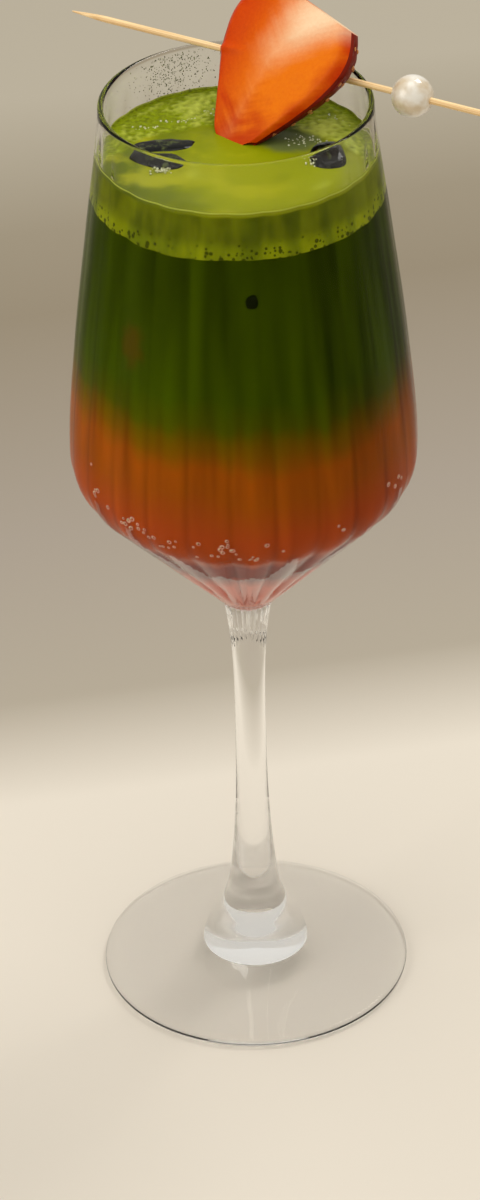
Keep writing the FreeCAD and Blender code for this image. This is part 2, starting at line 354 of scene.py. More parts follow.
def layered_drink(scene):
    """Berry tonic that blends upwards into stirred matcha: cloudy, with no gloss of its own."""
    colours = scene.tonic_colours
    glass = scene.tonic_glass
    material = new_material("Berry tonic under stirred matcha")
    place, x, y, z = millimetres(material)
    rib = rib_pattern(material, glass, x, y)
    streaks = wall_streaks(material, place, 0.1, 45.0)
    # Slow swirls and the streaks shift the layers up and down by a few millimetres.
    swirl = add(material, NOISE, {"Vector": place, "Scale": 1 / 22, "Detail": 3.0})
    shift = add(material, MATH, {0: swirl, 1: streaks}, operation="ADD")
    shifted = 8.0
    level = add(material, MATH, {0: shift, 1: shifted, 2: z}, operation="MULTIPLY_ADD")
    low = tonic_low.z / MM
    high = foam_low.z / MM
    share = add(material, RANGE, {
        "Value": level, "From Min": low + shifted, "From Max": high + shifted,
    })
    # Each colour is reached at a height in millimetres, from the bottom up.
    heights = [
        # Painted light: pale tonic at the bottom of the cone.
        (low + 12, colours.tonic_thin_painted_light),
        # Painted reflection: a darker band where the cone reflects dark surroundings.
        (low + 17, colours.tonic_painted_dark_reflection),
        (low + 23, colours.tonic_painted_dark_reflection),
        (low + 26, colours.tonic),
        (139, colours.tonic),
        (149, colours.tonic_deep),
        (155, colours.tonic_deep),
        (160, colours.blend),
        (166, colours.matcha_low),
        (172, colours.matcha),
        (high - 4, colours.matcha_top),
    ]
    layers = add(material, "ShaderNodeValToRGB", {0: share}, stops=[
        ((height - low) / (high - low), shade) for height, shade in heights
    ])
    # Painted shade: dark lines in the grooves. Streaks of the stirring, strengthened into painted
    # light, make no two ribs as bright.
    painted_groove_shade = add(material, RANGE, {
        "Value": rib, "From Max": 0.4, "To Min": 0.84, "To Max": 1.03,
    }, interpolation_type="SMOOTHSTEP")
    contrast = add(material, RANGE, {
        "Value": z, "From Min": 145.0, "From Max": 165.0, "To Min": 0.8, "To Max": 2.1,
    })
    # Painted shade: the drink is darker towards +X, as if lit from -X.
    painted_side_shade = add(material, MATH, {0: x, 1: -0.004, 2: -0.5}, operation="MULTIPLY_ADD")
    uneven = add(material, MATH, {0: streaks, 1: painted_side_shade}, operation="ADD")
    stir_streaks_and_painted_light = add(material, MATH, {0: uneven, 1: contrast, 2: 1.0}, operation="MULTIPLY_ADD")
    light = add(material, MATH, {0: painted_groove_shade, 1: stir_streaks_and_painted_light}, operation="MULTIPLY")
    striped = add(material, MIX, {0: 1.0, 6: layers, 7: light}, data_type="RGBA",
                  blend_type="MULTIPLY")
    # One bit of berry hangs close under the surface.
    offset = add(material, VECTOR_MATH, {
        0: place, 1: wall_spot(glass, -43.0, 180.5),
    }, operation="SUBTRACT")
    squashed = add(material, VECTOR_MATH, {0: offset, 1: (1.0, 1.0, 0.62)}, operation="MULTIPLY")
    far = add(material, VECTOR_MATH, {0: squashed}, operation="LENGTH")
    crumbs = add(material, NOISE, {"Vector": place, "Scale": 1 / 2.2, "Detail": 3.0})
    ragged = add(material, MATH, {0: crumbs, 1: 3.6, 2: far}, operation="MULTIPLY_ADD")
    shown = add(material, RANGE, {
        "Value": ragged, "From Min": 5.8, "From Max": 3.2, "To Max": 0.42,
    }, interpolation_type="SMOOTHSTEP")
    final = add(material, MIX, {0: shown, 6: striped, 7: (*colours.berry_bit, 1)},
                data_type="RGBA")
    shader = add(material, PRINCIPLED, {
        "Base Color": final, "Roughness": 0.6, "Specular IOR Level": 0.0,
    })
    add(material, OUTPUT, {"Surface": shader})
    return material


def matcha_foam(scene):
    """Whisked matcha foam: fine and wet, coarser at the back, with open bubbles at its edge."""
    colours = scene.tonic_colours
    top_height = foam_high.z / MM
    material = new_material("Matcha foam, whisked")
    place, x, y, z = millimetres(material)
    # Top: smooth and wet in front, deeper to the left, and coarse froth behind.
    cloud = add(material, NOISE, {"Vector": place, "Scale": 1 / 11, "Detail": 4.0})
    wander = add(material, MATH, {0: cloud, 1: 30.0, 2: x}, operation="MULTIPLY_ADD")
    rightwards = add(material, RANGE, {
        "Value": wander, "From Min": -8.0, "From Max": 12.0,
    }, interpolation_type="SMOOTHSTEP")
    smooth = add(material, MIX, {
        0: rightwards, 6: (*colours.foam_left, 1), 7: (*colours.foam, 1),
    }, data_type="RGBA")
    # Painted sheen: lighter patches on the smooth foam.
    patches = add(material, RANGE, {
        "Value": cloud, "From Min": 0.5, "From Max": 0.68, "To Max": 0.8,
    }, interpolation_type="SMOOTHSTEP")
    smooth = add(material, MIX, {0: patches, 6: smooth, 7: (*colours.sheen, 1)},
                 data_type="RGBA")
    centre = add(material, VECTOR_MATH, {
        0: place, 1: tuple(Vector(FROTH_CENTRE) / MM),
    }, operation="DISTANCE")
    small = add(material, NOISE, {"Vector": place, "Scale": 1 / 5, "Detail": 2.0})
    uneven = add(material, MATH, {0: small, 1: 4.0, 2: centre}, operation="MULTIPLY_ADD")
    behind = add(material, RANGE, {
        "Value": uneven, "From Min": 31.6, "From Max": 33.4,
    }, interpolation_type="SMOOTHSTEP")
    # Painted shade: the froth is darkest where the same noise sinks its relief into pits.
    speckle = add(material, NOISE, {"Vector": place, "Scale": 1 / 0.9, "Detail": 3.0})
    grains = add(material, RANGE, {"Value": speckle, "From Min": 0.3, "From Max": 0.7})
    froth = add(material, MIX, {
        0: grains, 6: (*colours.froth_shade, 1), 7: (*colours.froth, 1),
    }, data_type="RGBA")
    top = add(material, MIX, {0: behind, 6: smooth, 7: froth}, data_type="RGBA")
    # A grey-green patch shows in the foam here, right of the berry's tip.
    from_patch = add(material, VECTOR_MATH, {
        0: place, 1: (11.5, 4.0, top_height),
    }, operation="DISTANCE")
    patch_edge = add(material, MATH, {0: small, 1: 4.0, 2: from_patch}, operation="MULTIPLY_ADD")
    ice = add(material, RANGE, {
        "Value": patch_edge, "From Min": 9.4, "From Max": 6.4,
    }, interpolation_type="SMOOTHSTEP")
    top = add(material, MIX, {0: ice, 6: top, 7: (*colours.ice_film, 1)}, data_type="RGBA")
    # Where the foam climbs the glass, it thins to a pale line: partly thin foam and partly a
    # painted highlight.
    climbing_highlight = add(material, RANGE, {
        "Value": z, "From Min": top_height + 0.2, "From Max": top_height + 0.5,
    })
    top = add(material, MIX, {0: climbing_highlight, 6: top, 7: (*colours.foam_line_highlight, 1)},
              data_type="RGBA")
    # Side: denser streaks, and open bubbles that gather along the lower edge.
    streaks = wall_streaks(material, place, 0.16, 20.0)
    denser = add(material, RANGE, {
        "Value": streaks, "From Min": 0.34, "From Max": 0.62,
    }, interpolation_type="SMOOTHSTEP")
    side = add(material, MIX, {
        0: denser, 6: (*colours.foam_shade, 1), 7: (*colours.foam_side, 1),
    }, data_type="RGBA")
    mottle = add(material, RANGE, {
        "Value": small, "From Min": 0.3, "From Max": 0.7, "To Min": 0.82, "To Max": 1.14,
    })
    side = add(material, MIX, {0: 1.0, 6: side, 7: mottle}, data_type="RGBA",
               blend_type="MULTIPLY")
    # The side is lighter towards its lower edge.
    lighter_below = add(material, RANGE, {
        "Value": z, "From Min": top_height - 5.0, "From Max": top_height - 8.5, "To Min": 1.0,
        "To Max": 1.7,
    }, interpolation_type="SMOOTHSTEP")
    side = add(material, MIX, {0: 1.0, 6: side, 7: lighter_below}, data_type="RGBA",
               blend_type="MULTIPLY")
    cells = add(material, "ShaderNodeTexVoronoi", {"Vector": place, "Scale": 1 / 0.95})
    chance = add(material, "ShaderNodeSeparateColor", {0: cells.outputs["Color"]})
    lower = add(material, RANGE, {
        "Value": z, "From Min": top_height - 4.5, "From Max": top_height - 8.5, "To Max": 0.6,
    })
    reach = add(material, MATH, {0: chance, 1: lower}, operation="MULTIPLY")
    hollow = add(material, MATH, {
        0: reach, 1: cells.outputs["Distance"],
    }, operation="SUBTRACT")
    hole = add(material, RANGE, {
        "Value": hollow, "From Min": -0.03, "From Max": 0.04, "To Max": 0.8,
    }, interpolation_type="SMOOTHSTEP")
    side = add(material, MIX, {0: hole, 6: side, 7: (*colours.foam_hole, 1)},
               data_type="RGBA")
    is_top = add(material, RANGE, {
        "Value": z, "From Min": top_height - 0.7, "From Max": top_height - 0.2,
    })
    final = add(material, MIX, {0: is_top, 6: side, 7: top}, data_type="RGBA")
    coarse = add(material, RANGE, {"Value": behind, "To Min": 0.12, "To Max": 1.0})
    relief = add(material, MATH, {0: speckle, 1: coarse}, operation="MULTIPLY")
    relief = add(material, MATH, {0: relief, 1: is_top}, operation="MULTIPLY")
    bump = add(material, "ShaderNodeBump", {
        "Height": relief, "Strength": 0.7, "Distance": 0.4 * MM,
    })
    roughness = add(material, RANGE, {"Value": behind, "To Min": 0.3, "To Max": 0.55})
    shader = add(material, PRINCIPLED, {
        "Base Color": final, "Roughness": roughness, "Specular IOR Level": 0.04, "Normal": bump,
    })
    add(material, OUTPUT, {"Surface": shader})
    return material


def wet_ice(scene):
    """Melting ice in dark matcha: nearly black, glassy and wet."""
    colours = scene.tonic_colours
    material = new_material("Melting ice, wet")
    place, *_ = millimetres(material)
    cloud = add(material, NOISE, {"Vector": place, "Scale": 1 / 2.5, "Detail": 3.0})
    share = add(material, RANGE, {
        "Value": cloud, "From Min": 0.52, "From Max": 0.8, "To Max": 0.7,
    }, interpolation_type="SMOOTHSTEP")
    shade = add(material, MIX, {0: share, 6: (*colours.ice, 1), 7: (*colours.ice_film, 1)},
                data_type="RGBA")
    ripples = add(material, NOISE, {"Vector": place, "Scale": 1 / 1.6, "Detail": 2.0})
    bump = add(material, "ShaderNodeBump", {
        "Height": ripples, "Strength": 0.6, "Distance": 0.3 * MM,
    })
    shader = add(material, PRINCIPLED, {
        "Base Color": shade, "Roughness": 0.05, "IOR": 1.31, "Specular IOR Level": 0.35,
        "Normal": bump,
    })
    add(material, OUTPUT, {"Surface": shader})
    return material


def foam_bubbles(scene):
    """Thin wet bubble skins that catch the lamps as small sparks; their pale, near-white colour is
    partly painted highlight.
    """
    colours = scene.tonic_colours
    material = new_material("Foam bubbles, wet")
    place, *_ = millimetres(material)
    patches = add(material, NOISE, {"Vector": place, "Scale": 1 / 1.2, "Detail": 2.0})
    shade = add(material, MIX, {
        0: patches, 6: (*colours.sheen, 1), 7: opaque("#f0f2e0"),
    }, data_type="RGBA")
    shader = add(material, PRINCIPLED, {
        "Base Color": shade, "Roughness": 0.05, "Coat Weight": 1.0,
    })
    add(material, OUTPUT, {"Surface": shader})
    return material


def gas_bubbles(scene):
    """Bubbles held on the wall: each shows as a pale ring round darker tonic, and the ring's pale
    colour is painted reflection.
    """
    colours = scene.tonic_colours
    material = new_material("Gas bubbles on glass")
    place, *_ = millimetres(material)
    patches = add(material, NOISE, {"Vector": place, "Scale": 1 / 0.9, "Detail": 2.0})
    share = add(material, RANGE, {"Value": patches, "From Min": 0.3, "From Max": 0.7})
    shade = add(material, MIX, {0: share, 6: (*colours.bubble, 1), 7: (*colours.bubble_shade, 1)},
                data_type="RGBA")
    shader = add(material, PRINCIPLED, {"Base Color": shade, "Roughness": 0.2})
    add(material, OUTPUT, {"Surface": shader})
    return material


def dried_matcha(scene):
    """Fine splashes of matcha on the inside of the bowl: dull, olive-grey and grainy."""
    colours = scene.tonic_colours
    material = new_material("Matcha splashes, drying")
    place, *_ = millimetres(material)
    patches = add(material, NOISE, {"Vector": place, "Scale": 1 / 1.5, "Detail": 2.0})
    shade = add(material, MIX, {
        0: patches, 6: (*colours.splash, 1), 7: (*colours.ice_film, 1),
    }, data_type="RGBA")
    shader = add(material, PRINCIPLED, {"Base Color": shade, "Roughness": 0.4})
    add(material, OUTPUT, {"Surface": shader})
    return material


def tea_speck():
    """A clot of tea powder against the glass: almost black and matt."""
    material = new_material("Clotted tea powder")
    place, *_ = millimetres(material)
    grains = add(material, NOISE, {"Vector": place, "Scale": 1 / 0.5, "Detail": 2.0})
    shade = add(material, MIX, {0: grains, 6: opaque("#050701"), 7: opaque("#161c04")},
                data_type="RGBA")
    shader = add(material, PRINCIPLED, {
        "Base Color": shade, "Roughness": 0.7, "Specular IOR Level": 0.0,
    })
    add(material, OUTPUT, {"Surface": shader})
    return material


def bamboo(scene):
    """Peeled bamboo: pale straw with long dark fibres, dry and slightly glossy."""
    colours = scene.tonic_garnish_colours
    material = new_material("Bamboo, peeled")
    coordinates = add(material, "ShaderNodeTexCoord")
    # Fibres are about 0.2 mm wide and 25 mm long.
    fibre_place = add(material, "ShaderNodeMapping", {
        "Vector": coordinates.outputs["Object"],
        "Rotation": (0, 0, scene.tonic_garnish.pick_yaw),
        "Scale": (25 * MM, 0.2 * MM, 0.2 * MM),
    }, vector_type="TEXTURE")
    fibres = add(material, NOISE, {"Vector": fibre_place, "Scale": 1.0, "Detail": 3.0})
    share = add(material, RANGE, {
        "Value": fibres, "From Min": 0.35, "From Max": 0.68,
    }, interpolation_type="SMOOTHSTEP")
    shade = add(material, MIX, {
        0: share, 6: (*colours.bamboo_fibre, 1), 7: (*colours.bamboo, 1),
    }, data_type="RGBA")
    bump = add(material, "ShaderNodeBump", {
        "Height": fibres, "Strength": 0.5, "Distance": 0.05 * MM,
    })
    shader = add(material, PRINCIPLED, {"Base Color": shade, "Roughness": 0.5, "Normal": bump})
    add(material, OUTPUT, {"Surface": shader})
    return material


def pearl_lacquer(scene):
    """Pearl essence under clear lacquer on a plastic bead: soft depth and a bright highlight."""
    colours = scene.tonic_garnish_colours
    material = new_material("Pearl lacquer over plastic")
    place, *_ = millimetres(material)
    cloud = add(material, NOISE, {"Vector": place, "Scale": 1 / 4, "Detail": 3.0})
    share = add(material, RANGE, {
        "Value": cloud, "From Min": 0.35, "From Max": 0.7,
    }, interpolation_type="SMOOTHSTEP")
    shade = add(material, MIX, {
        0: share, 6: (*colours.pearl, 1), 7: (*colours.pearl_shade, 1),
    }, data_type="RGBA")
    dents = add(material, NOISE, {"Vector": place, "Scale": 1 / 0.8, "Detail": 2.0})
    bump = add(material, "ShaderNodeBump", {
        "Height": dents, "Strength": 0.08, "Distance": 0.05 * MM,
    })
    shader = add(material, PRINCIPLED, {
        "Base Color": shade, "Roughness": 0.25, "Coat Weight": 1.0, "Coat Roughness": 0.06,
        "Sheen Weight": 0.15, "Normal": bump,
    })
    add(material, OUTPUT, {"Surface": shader})
    return material


def berry_flesh(scene):
    """Cut strawberry flesh: pale core, orange fibres that run out to a red edge, and wet."""
    colours = scene.tonic_garnish_colours
    material = new_material("Strawberry flesh, freshly cut")
    place, *_ = millimetres(material)
    across, out, along = (
        add(material, "ShaderNodeAttribute", attribute_name=name).outputs["Fac"]
        for name in ("across", "out", "along")
    )
    # Fibres run outwards and a little upwards from the core.
    away = add(material, MATH, {0: across}, operation="ABSOLUTE")
    slant = add(material, MATH, {0: away, 1: -0.35, 2: along}, operation="MULTIPLY_ADD")
    stacked = add(material, MATH, {0: slant, 1: 12.0}, operation="MULTIPLY")
    fibre_place = add(material, "ShaderNodeCombineXYZ", {0: stacked, 1: across})
    fibres = add(material, NOISE, {"Vector": fibre_place, "Scale": 1.3, "Detail": 3.0})
    cloud = add(material, NOISE, {"Vector": place, "Scale": 1 / 6, "Detail": 2.0})
    fine = add(material, NOISE, {"Vector": place, "Scale": 1 / 0.7, "Detail": 2.0})
    both = add(material, MATH, {0: fibres, 1: cloud}, operation="ADD")
    wobble = add(material, MATH, {0: both, 1: 0.45, 2: -0.45}, operation="MULTIPLY_ADD")
    rightwards = add(material, RANGE, {
        "Value": across, "From Min": -0.75, "From Max": 0.1,
    }, interpolation_type="SMOOTHSTEP")
    flesh = add(material, MIX, {
        0: rightwards, 6: (*colours.flesh_left, 1), 7: (*colours.flesh, 1),
    }, data_type="RGBA")
    # Redder towards the skin and the tip.
    outer = add(material, MATH, {0: wobble, 1: 0.5, 2: out}, operation="MULTIPLY_ADD")
    edge = add(material, RANGE, {
        "Value": outer, "From Min": 0.7, "From Max": 1.02,
    }, interpolation_type="SMOOTHSTEP")
    height = add(material, MATH, {0: along, 1: wobble}, operation="ADD")
    low = add(material, RANGE, {
        "Value": height, "From Min": 0.42, "From Max": 0.0, "To Max": 0.9,
    }, interpolation_type="SMOOTHSTEP")
    red = add(material, MATH, {0: edge, 1: low}, operation="MAXIMUM")
    shade = add(material, MIX, {0: red, 6: flesh, 7: (*colours.flesh_edge, 1)},
                data_type="RGBA")
    # The core spreads out towards the hull and leans to one side.
    middle = add(material, RANGE, {
        "Value": along, "From Min": 0.6, "From Max": 1.0, "To Min": -0.05, "To Max": 0.38,
    })
    width = add(material, RANGE, {
        "Value": along, "From Min": 0.4, "From Max": 0.95, "To Min": -0.1, "To Max": 0.5,
    })
    offset = add(material, MATH, {0: across, 1: middle}, operation="SUBTRACT")
    aside = add(material, MATH, {0: offset}, operation="ABSOLUTE")
    inside = add(material, MATH, {0: width, 1: aside}, operation="SUBTRACT")
    inside = add(material, MATH, {0: wobble, 1: 0.5, 2: inside}, operation="MULTIPLY_ADD")
    pale = add(material, RANGE, {
        "Value": inside, "From Min": -0.28, "From Max": 0.5,
    }, interpolation_type="SMOOTHSTEP")
    upwards = add(material, RANGE, {"Value": along, "From Min": 0.5, "From Max": 0.9})
    core = add(material, MIX, {
        0: upwards, 6: (*colours.core_low, 1), 7: (*colours.core, 1),
    }, data_type="RGBA")
    shade = add(material, MIX, {0: pale, 6: shade, 7: core}, data_type="RGBA")
    shade = add(material, MIX, {0: 0.2, 6: shade, 7: fine}, data_type="RGBA",
                blend_type="SOFT_LIGHT")
    relief = add(material, MATH, {0: fine, 1: fibres}, operation="ADD")
    bump = add(material, "ShaderNodeBump", {
        "Height": relief, "Strength": 0.35, "Distance": 0.2 * MM,
    })
    shader = add(material, PRINCIPLED, {
        "Base Color": shade, "Roughness": 0.38, "Specular IOR Level": 0.06, "Normal": bump,
    })
    add(material, OUTPUT, {"Surface": shader})
    return material


def berry_skin(scene):
    """Ripe strawberry skin: deep glossy red, darker round the tip."""
    colours = scene.tonic_garnish_colours
    material = new_material("Strawberry skin, ripe")
    place, *_ = millimetres(material)
    cloud = add(material, NOISE, {"Vector": place, "Scale": 1 / 4, "Detail": 3.0})
    along = add(material, "ShaderNodeAttribute", attribute_name="along")
    height = add(material, MATH, {
        0: cloud, 1: 0.5, 2: along.outputs["Fac"],
    }, operation="MULTIPLY_ADD")
    deep = add(material, RANGE, {
        "Value": height, "From Min": 1.0, "From Max": 0.35,
    }, interpolation_type="SMOOTHSTEP")
    shade = add(material, MIX, {0: deep, 6: (*colours.skin, 1), 7: (*colours.skin_dark, 1)},
                data_type="RGBA")
    shader = add(material, PRINCIPLED, {
        "Base Color": shade, "Roughness": 0.4, "Specular IOR Level": 0.12,
    })
    add(material, OUTPUT, {"Surface": shader})
    return material


def berry_seeds(scene):
    """Strawberry seeds: hard, straw-coloured and a little shiny."""
    colours = scene.tonic_garnish_colours
    material = new_material("Strawberry seeds")
    place, *_ = millimetres(material)
    patches = add(material, NOISE, {"Vector": place, "Scale": 1 / 0.8, "Detail": 2.0})
    shade = add(material, MIX, {0: patches, 6: (*colours.seed, 1), 7: opaque("#a4541a")},
                data_type="RGBA")
    shader = add(material, PRINCIPLED, {"Base Color": shade, "Roughness": 0.35})
    add(material, OUTPUT, {"Surface": shader})
    return material


# ------------------------------------------------------------------ shapes

def smooth_step(value, start, end):
    """0 before start and 1 after end, with a soft change between them."""
    share = min(max((value - start) / (end - start), 0), 1)
    return share * share * (3 - 2 * share)


def point(radius, height):
    """A point of an outline that is turned about Z."""
    return Vector((radius, 0, height))


def arc_points(centre, radius, start, end, steps):
    """Points of an arc of an outline, its angles in radians from +X."""
    turns = [start + (end - start) * step / steps for step in range(steps + 1)]
    return [centre + Vector((math.cos(turn), 0, math.sin(turn))) * radius for turn in turns]


def line_points(start, end, steps):
    return [start.lerp(end, step / steps) for step in range(steps + 1)]


def curve_points(points, first, last, steps):
    """A smooth curve through the points, with these end directions and steps for each stretch."""
    ways = [(b - a).normalized() for a, b in zip(points, points[2:])]
    ways = [first.normalized(), *ways, last.normalized()]
    curve = [points[0]]
    for start, end, leave, arrive in zip(points, points[1:], ways, ways[1:]):
        handle = (end - start).length / 3
        stretch = interpolate_bezier(
            start, start + leave * handle, end - arrive * handle, end, steps + 1
        )
        curve += stretch[1:]
    return curve


def without_repeats(points):
    """The points without those that lie on the one before."""
    kept = points[:1]
    for place in points[1:]:
        if (place - kept[-1]).length > 1e-6:
            kept.append(place)
    return kept


def spun(outline, steps, axis=(0, 0, 1), turn=math.tau):
    """The surface that an outline makes when it turns about an axis through the origin."""
    bm = bmesh.new()
    verts = [bm.verts.new(place) for place in without_repeats(outline)]
    edges = [bm.edges.new(pair) for pair in zip(verts, verts[1:])]
    bmesh.ops.spin(
        bm, geom=verts + edges, cent=ORIGIN, axis=axis, angle=turn, steps=steps,
        use_merge=turn == math.tau,
    )
    bmesh.ops.remove_doubles(bm, verts=bm.verts, dist=1e-6)
    bmesh.ops.recalc_face_normals(bm, faces=bm.faces)
    return bm


def finish_piece(bm, name, materials, replaced=None):
    """Makes the mesh a smooth-shaded piece that rides on the object."""
    old = bpy.data.objects.get(name)
    if old:
        bpy.data.objects.remove(old)
    mesh = bpy.data.meshes.new(name)
    bm.normal_update()
    bm.to_mesh(mesh)
    bm.free()
    mesh.shade_smooth()
    mesh.set_sharp_from_angle(angle=math.radians(40))
    for material in materials:
        mesh.materials.append(material)
    piece = bpy.data.objects.new(name, mesh)
    bpy.context.scene.collection.objects.link(piece)
    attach(piece, "root")
    if replaced:
        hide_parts(replaced)


# ------------------------------------------------------------------ glass outline

def cone_and_shoulder(glass, inset):
    """The top of the bowl's cone and the centre and radius of its shoulder."""
    radius = glass.shoulder_radius - inset
    centre = point(glass.widest_radius - glass.shoulder_radius, glass.widest_height)
    down = Vector((math.cos(glass.cone_angle), 0, -math.sin(glass.cone_angle)))
    return centre + down * radius, centre, radius


def down_the_cone(glass, cone_top, radius):
    """The point of the cone's line at this radius."""
    drop = (cone_top.x - radius) / math.tan(glass.cone_angle)
    return point(radius, cone_top.z - drop)


def side_outline(glass, inset):
    """From the top of the cone, round the shoulder and up the side to the rim's round."""
    _, centre, radius = cone_and_shoulder(glass, inset)
    shoulder = arc_points(centre, radius, -glass.cone_angle, 0, 14)
    widest = shoulder[-1]
    top = point(glass.rim_radius - inset, glass.height - glass.wall / 2)
    lower = widest.lerp(top, 1 / 3) + Vector((glass.lower_bulge, 0, 0))
    upper = widest.lerp(top, 2 / 3) + Vector((glass.upper_bulge, 0, 0))
    lean = Vector(((top.x - widest.x) * 0.6, 0, top.z - widest.z))
    side = curve_points([widest, lower, upper, top], Vector((0, 0, 1)), lean, 13)
    return shoulder + side[1:]


def hollow_outline(glass, inset):
    """The hollow from its lowest point up to the rim's round, for walls of this thickness."""
    cone_top, _, _ = cone_and_shoulder(glass, inset)
    radius = glass.floor_radius + glass.wall - inset
    meet = down_the_cone(glass, cone_top, radius * math.cos(glass.cone_angle))
    centre = point(0, meet.z + radius * math.sin(glass.cone_angle))
    floor = arc_points(centre, radius, -math.pi / 2, -glass.cone_angle, 14)
    return without_repeats(
        floor + line_points(meet, cone_top, 14) + side_outline(glass, inset)
    )


def stem_outline(glass, cone_foot):
    """From the top edge of the foot up the stem to the cone."""
    crown = point(glass.foot_crown_radius, glass.foot_crown_height)
    root = point(glass.stem_root_radius, glass.stem_root_height)
    swollen_base = [point(x * MM, z * MM) for x, z in ((11.2, 10.0), (9.4, 13.4), (7.4, 17.3))]
    waist = point(glass.stem_waist_radius, glass.stem_waist_height)
    stem_top = point(glass.stem_top_radius, cone_foot.z - glass.collar_height)
    leaning_in = Vector((-0.12, 0, 1))
    upright = Vector((0, 0, 1))
    leaning_out = Vector((0.16, 0, 1))
    outwards = Vector((1, 0, 0.9))
    return (
        curve_points([crown, *swollen_base, root], leaning_in, leaning_in, 6)
        + curve_points([root, waist], leaning_in, upright, 12)
        + curve_points([waist, stem_top], upright, leaning_out, 12)
        + curve_points([stem_top, cone_foot], leaning_out, outwards, 6)
    )


def glass_outline(glass):
    """The whole section of the glass, from the middle of its underside to its hollow."""
    cone_top, _, _ = cone_and_shoulder(glass, 0)
    cone_foot = down_the_cone(glass, cone_top, glass.collar_radius)
    edge_radius = glass.foot_edge / 2
    edge_centre = point(glass.foot_radius - edge_radius, edge_radius)
    standing = point(edge_centre.x - edge_radius, 0)
    underside = curve_points(
        [point(0, glass.foot_hollow), standing], Vector((1, 0, 0)), Vector((1, 0, -0.02)), 12
    )
    edge = arc_points(edge_centre, edge_radius, -math.pi / 2, math.pi / 2, 12)
    crown = point(glass.foot_crown_radius, glass.foot_crown_height)
    rim = arc_points(
        point(glass.rim_radius - glass.wall / 2, glass.height - glass.wall / 2),
        glass.wall / 2, 0, math.pi, 12,
    )
    return without_repeats(
        underside
        + edge
        + line_points(edge[-1], crown, 8)
        + stem_outline(glass, cone_foot)
        + line_points(cone_foot, cone_top, 36)
        + side_outline(glass, 0)
        + rim
        + hollow_outline(glass, glass.wall)[::-1]
    )


def groove(glass, place):
    """How deep a point of the bowl lies in a groove: 0 on a rib, 1 at the bottom of a groove."""
    fade_in = 9 * MM
    fade_out = 12 * MM
    facet_fade = 3 * MM
    azimuth = math.atan2(place.x, -place.y) - glass.groove_azimuth
    ribs = smooth_step(place.z, glass.ribs_start, glass.ribs_start + fade_in)
    ribs *= 1 - smooth_step(place.z, glass.ribs_end - fade_out, glass.ribs_end)
    facets = smooth_step(place.z, glass.facets_start, glass.facets_start + facet_fade)
    facets *= 1 - smooth_step(place.z, glass.facets_end - facet_fade, glass.facets_end)
    return (1 - abs(math.sin(glass.ribs / 2 * azimuth))) * (ribs + facets)


def press_ribs(bm, glass, depth_at):
    """Pushes each point towards the axis where it lies in a groove."""
    for vert in bm.verts:
        radial = Vector((vert.co.x, vert.co.y, 0))
        if radial.length > 1 * MM:
            vert.co -= radial.normalized() * groove(glass, vert.co) * depth_at(vert)


def between(outline, low, high):
    """The part of a rising outline that lies between two heights, cut cleanly at both."""
    cuts = []
    for height in (low, high):
        for below, above in zip(outline, outline[1:]):
            if below.z <= height <= above.z:
                cuts.append(below.lerp(above, (height - below.z) / (above.z - below.z)))
                break
    inside = [place for place in outline if low < place.z < high]
    return cuts[:1] + inside + cuts[1:]


def drink_outline(scene, low, high, extra=0.0):
    """A layer of drink from the axis out to the glass and up along it."""
    glass = scene.tonic_glass
    inset = glass.wall - scene.tonic_drink.wall_reach - extra
    side = between(hollow_outline(glass, inset), low, high)
    if side[0].x > 1 * MM:
        side = line_points(point(0, low), side[0], 3) + side[1:]
    return side


def wall_place(glass, azimuth, height, inset):
    """A place on the bowl this far inside its surface: +Z points outwards and +Y up the wall."""
    outline = hollow_outline(glass, inset)
    for below, above in zip(outline, outline[1:]):
        if below.z <= height <= above.z:
            break
    spot = below.lerp(above, (height - below.z) / (above.z - below.z))
    up = (above - below).normalized()
    turn = Matrix.Rotation(azimuth - math.pi / 2, 4, "Z")
    outwards = Vector((up.z, 0, -up.x))
    sideways = up.cross(outwards)
    axes = Matrix((sideways, up, outwards)).transposed().to_4x4()
    place = turn @ Matrix.Translation(spot) @ axes
    place.translation -= place.col[2].xyz * groove(glass, place.translation) * glass.inner_rib_depth
    return place


def copies(shape, places):
    """One mesh with a copy of the shape at each place."""
    mesh = bpy.data.meshes.new("one")
    shape.to_mesh(mesh)
    shape.free()
    bm = bmesh.new()
    for place in places:
        start = len(bm.verts)
        bm.from_mesh(mesh)
        bm.verts.ensure_lookup_table()
        bmesh.ops.transform(bm, matrix=place, verts=bm.verts[start:])
    bpy.data.meshes.remove(mesh)
    return bm


def ball(subdivisions=1):
    bm = bmesh.new()
    bmesh.ops.create_icosphere(bm, subdivisions=subdivisions, radius=1)
    return bm


# ------------------------------------------------------------------ operators

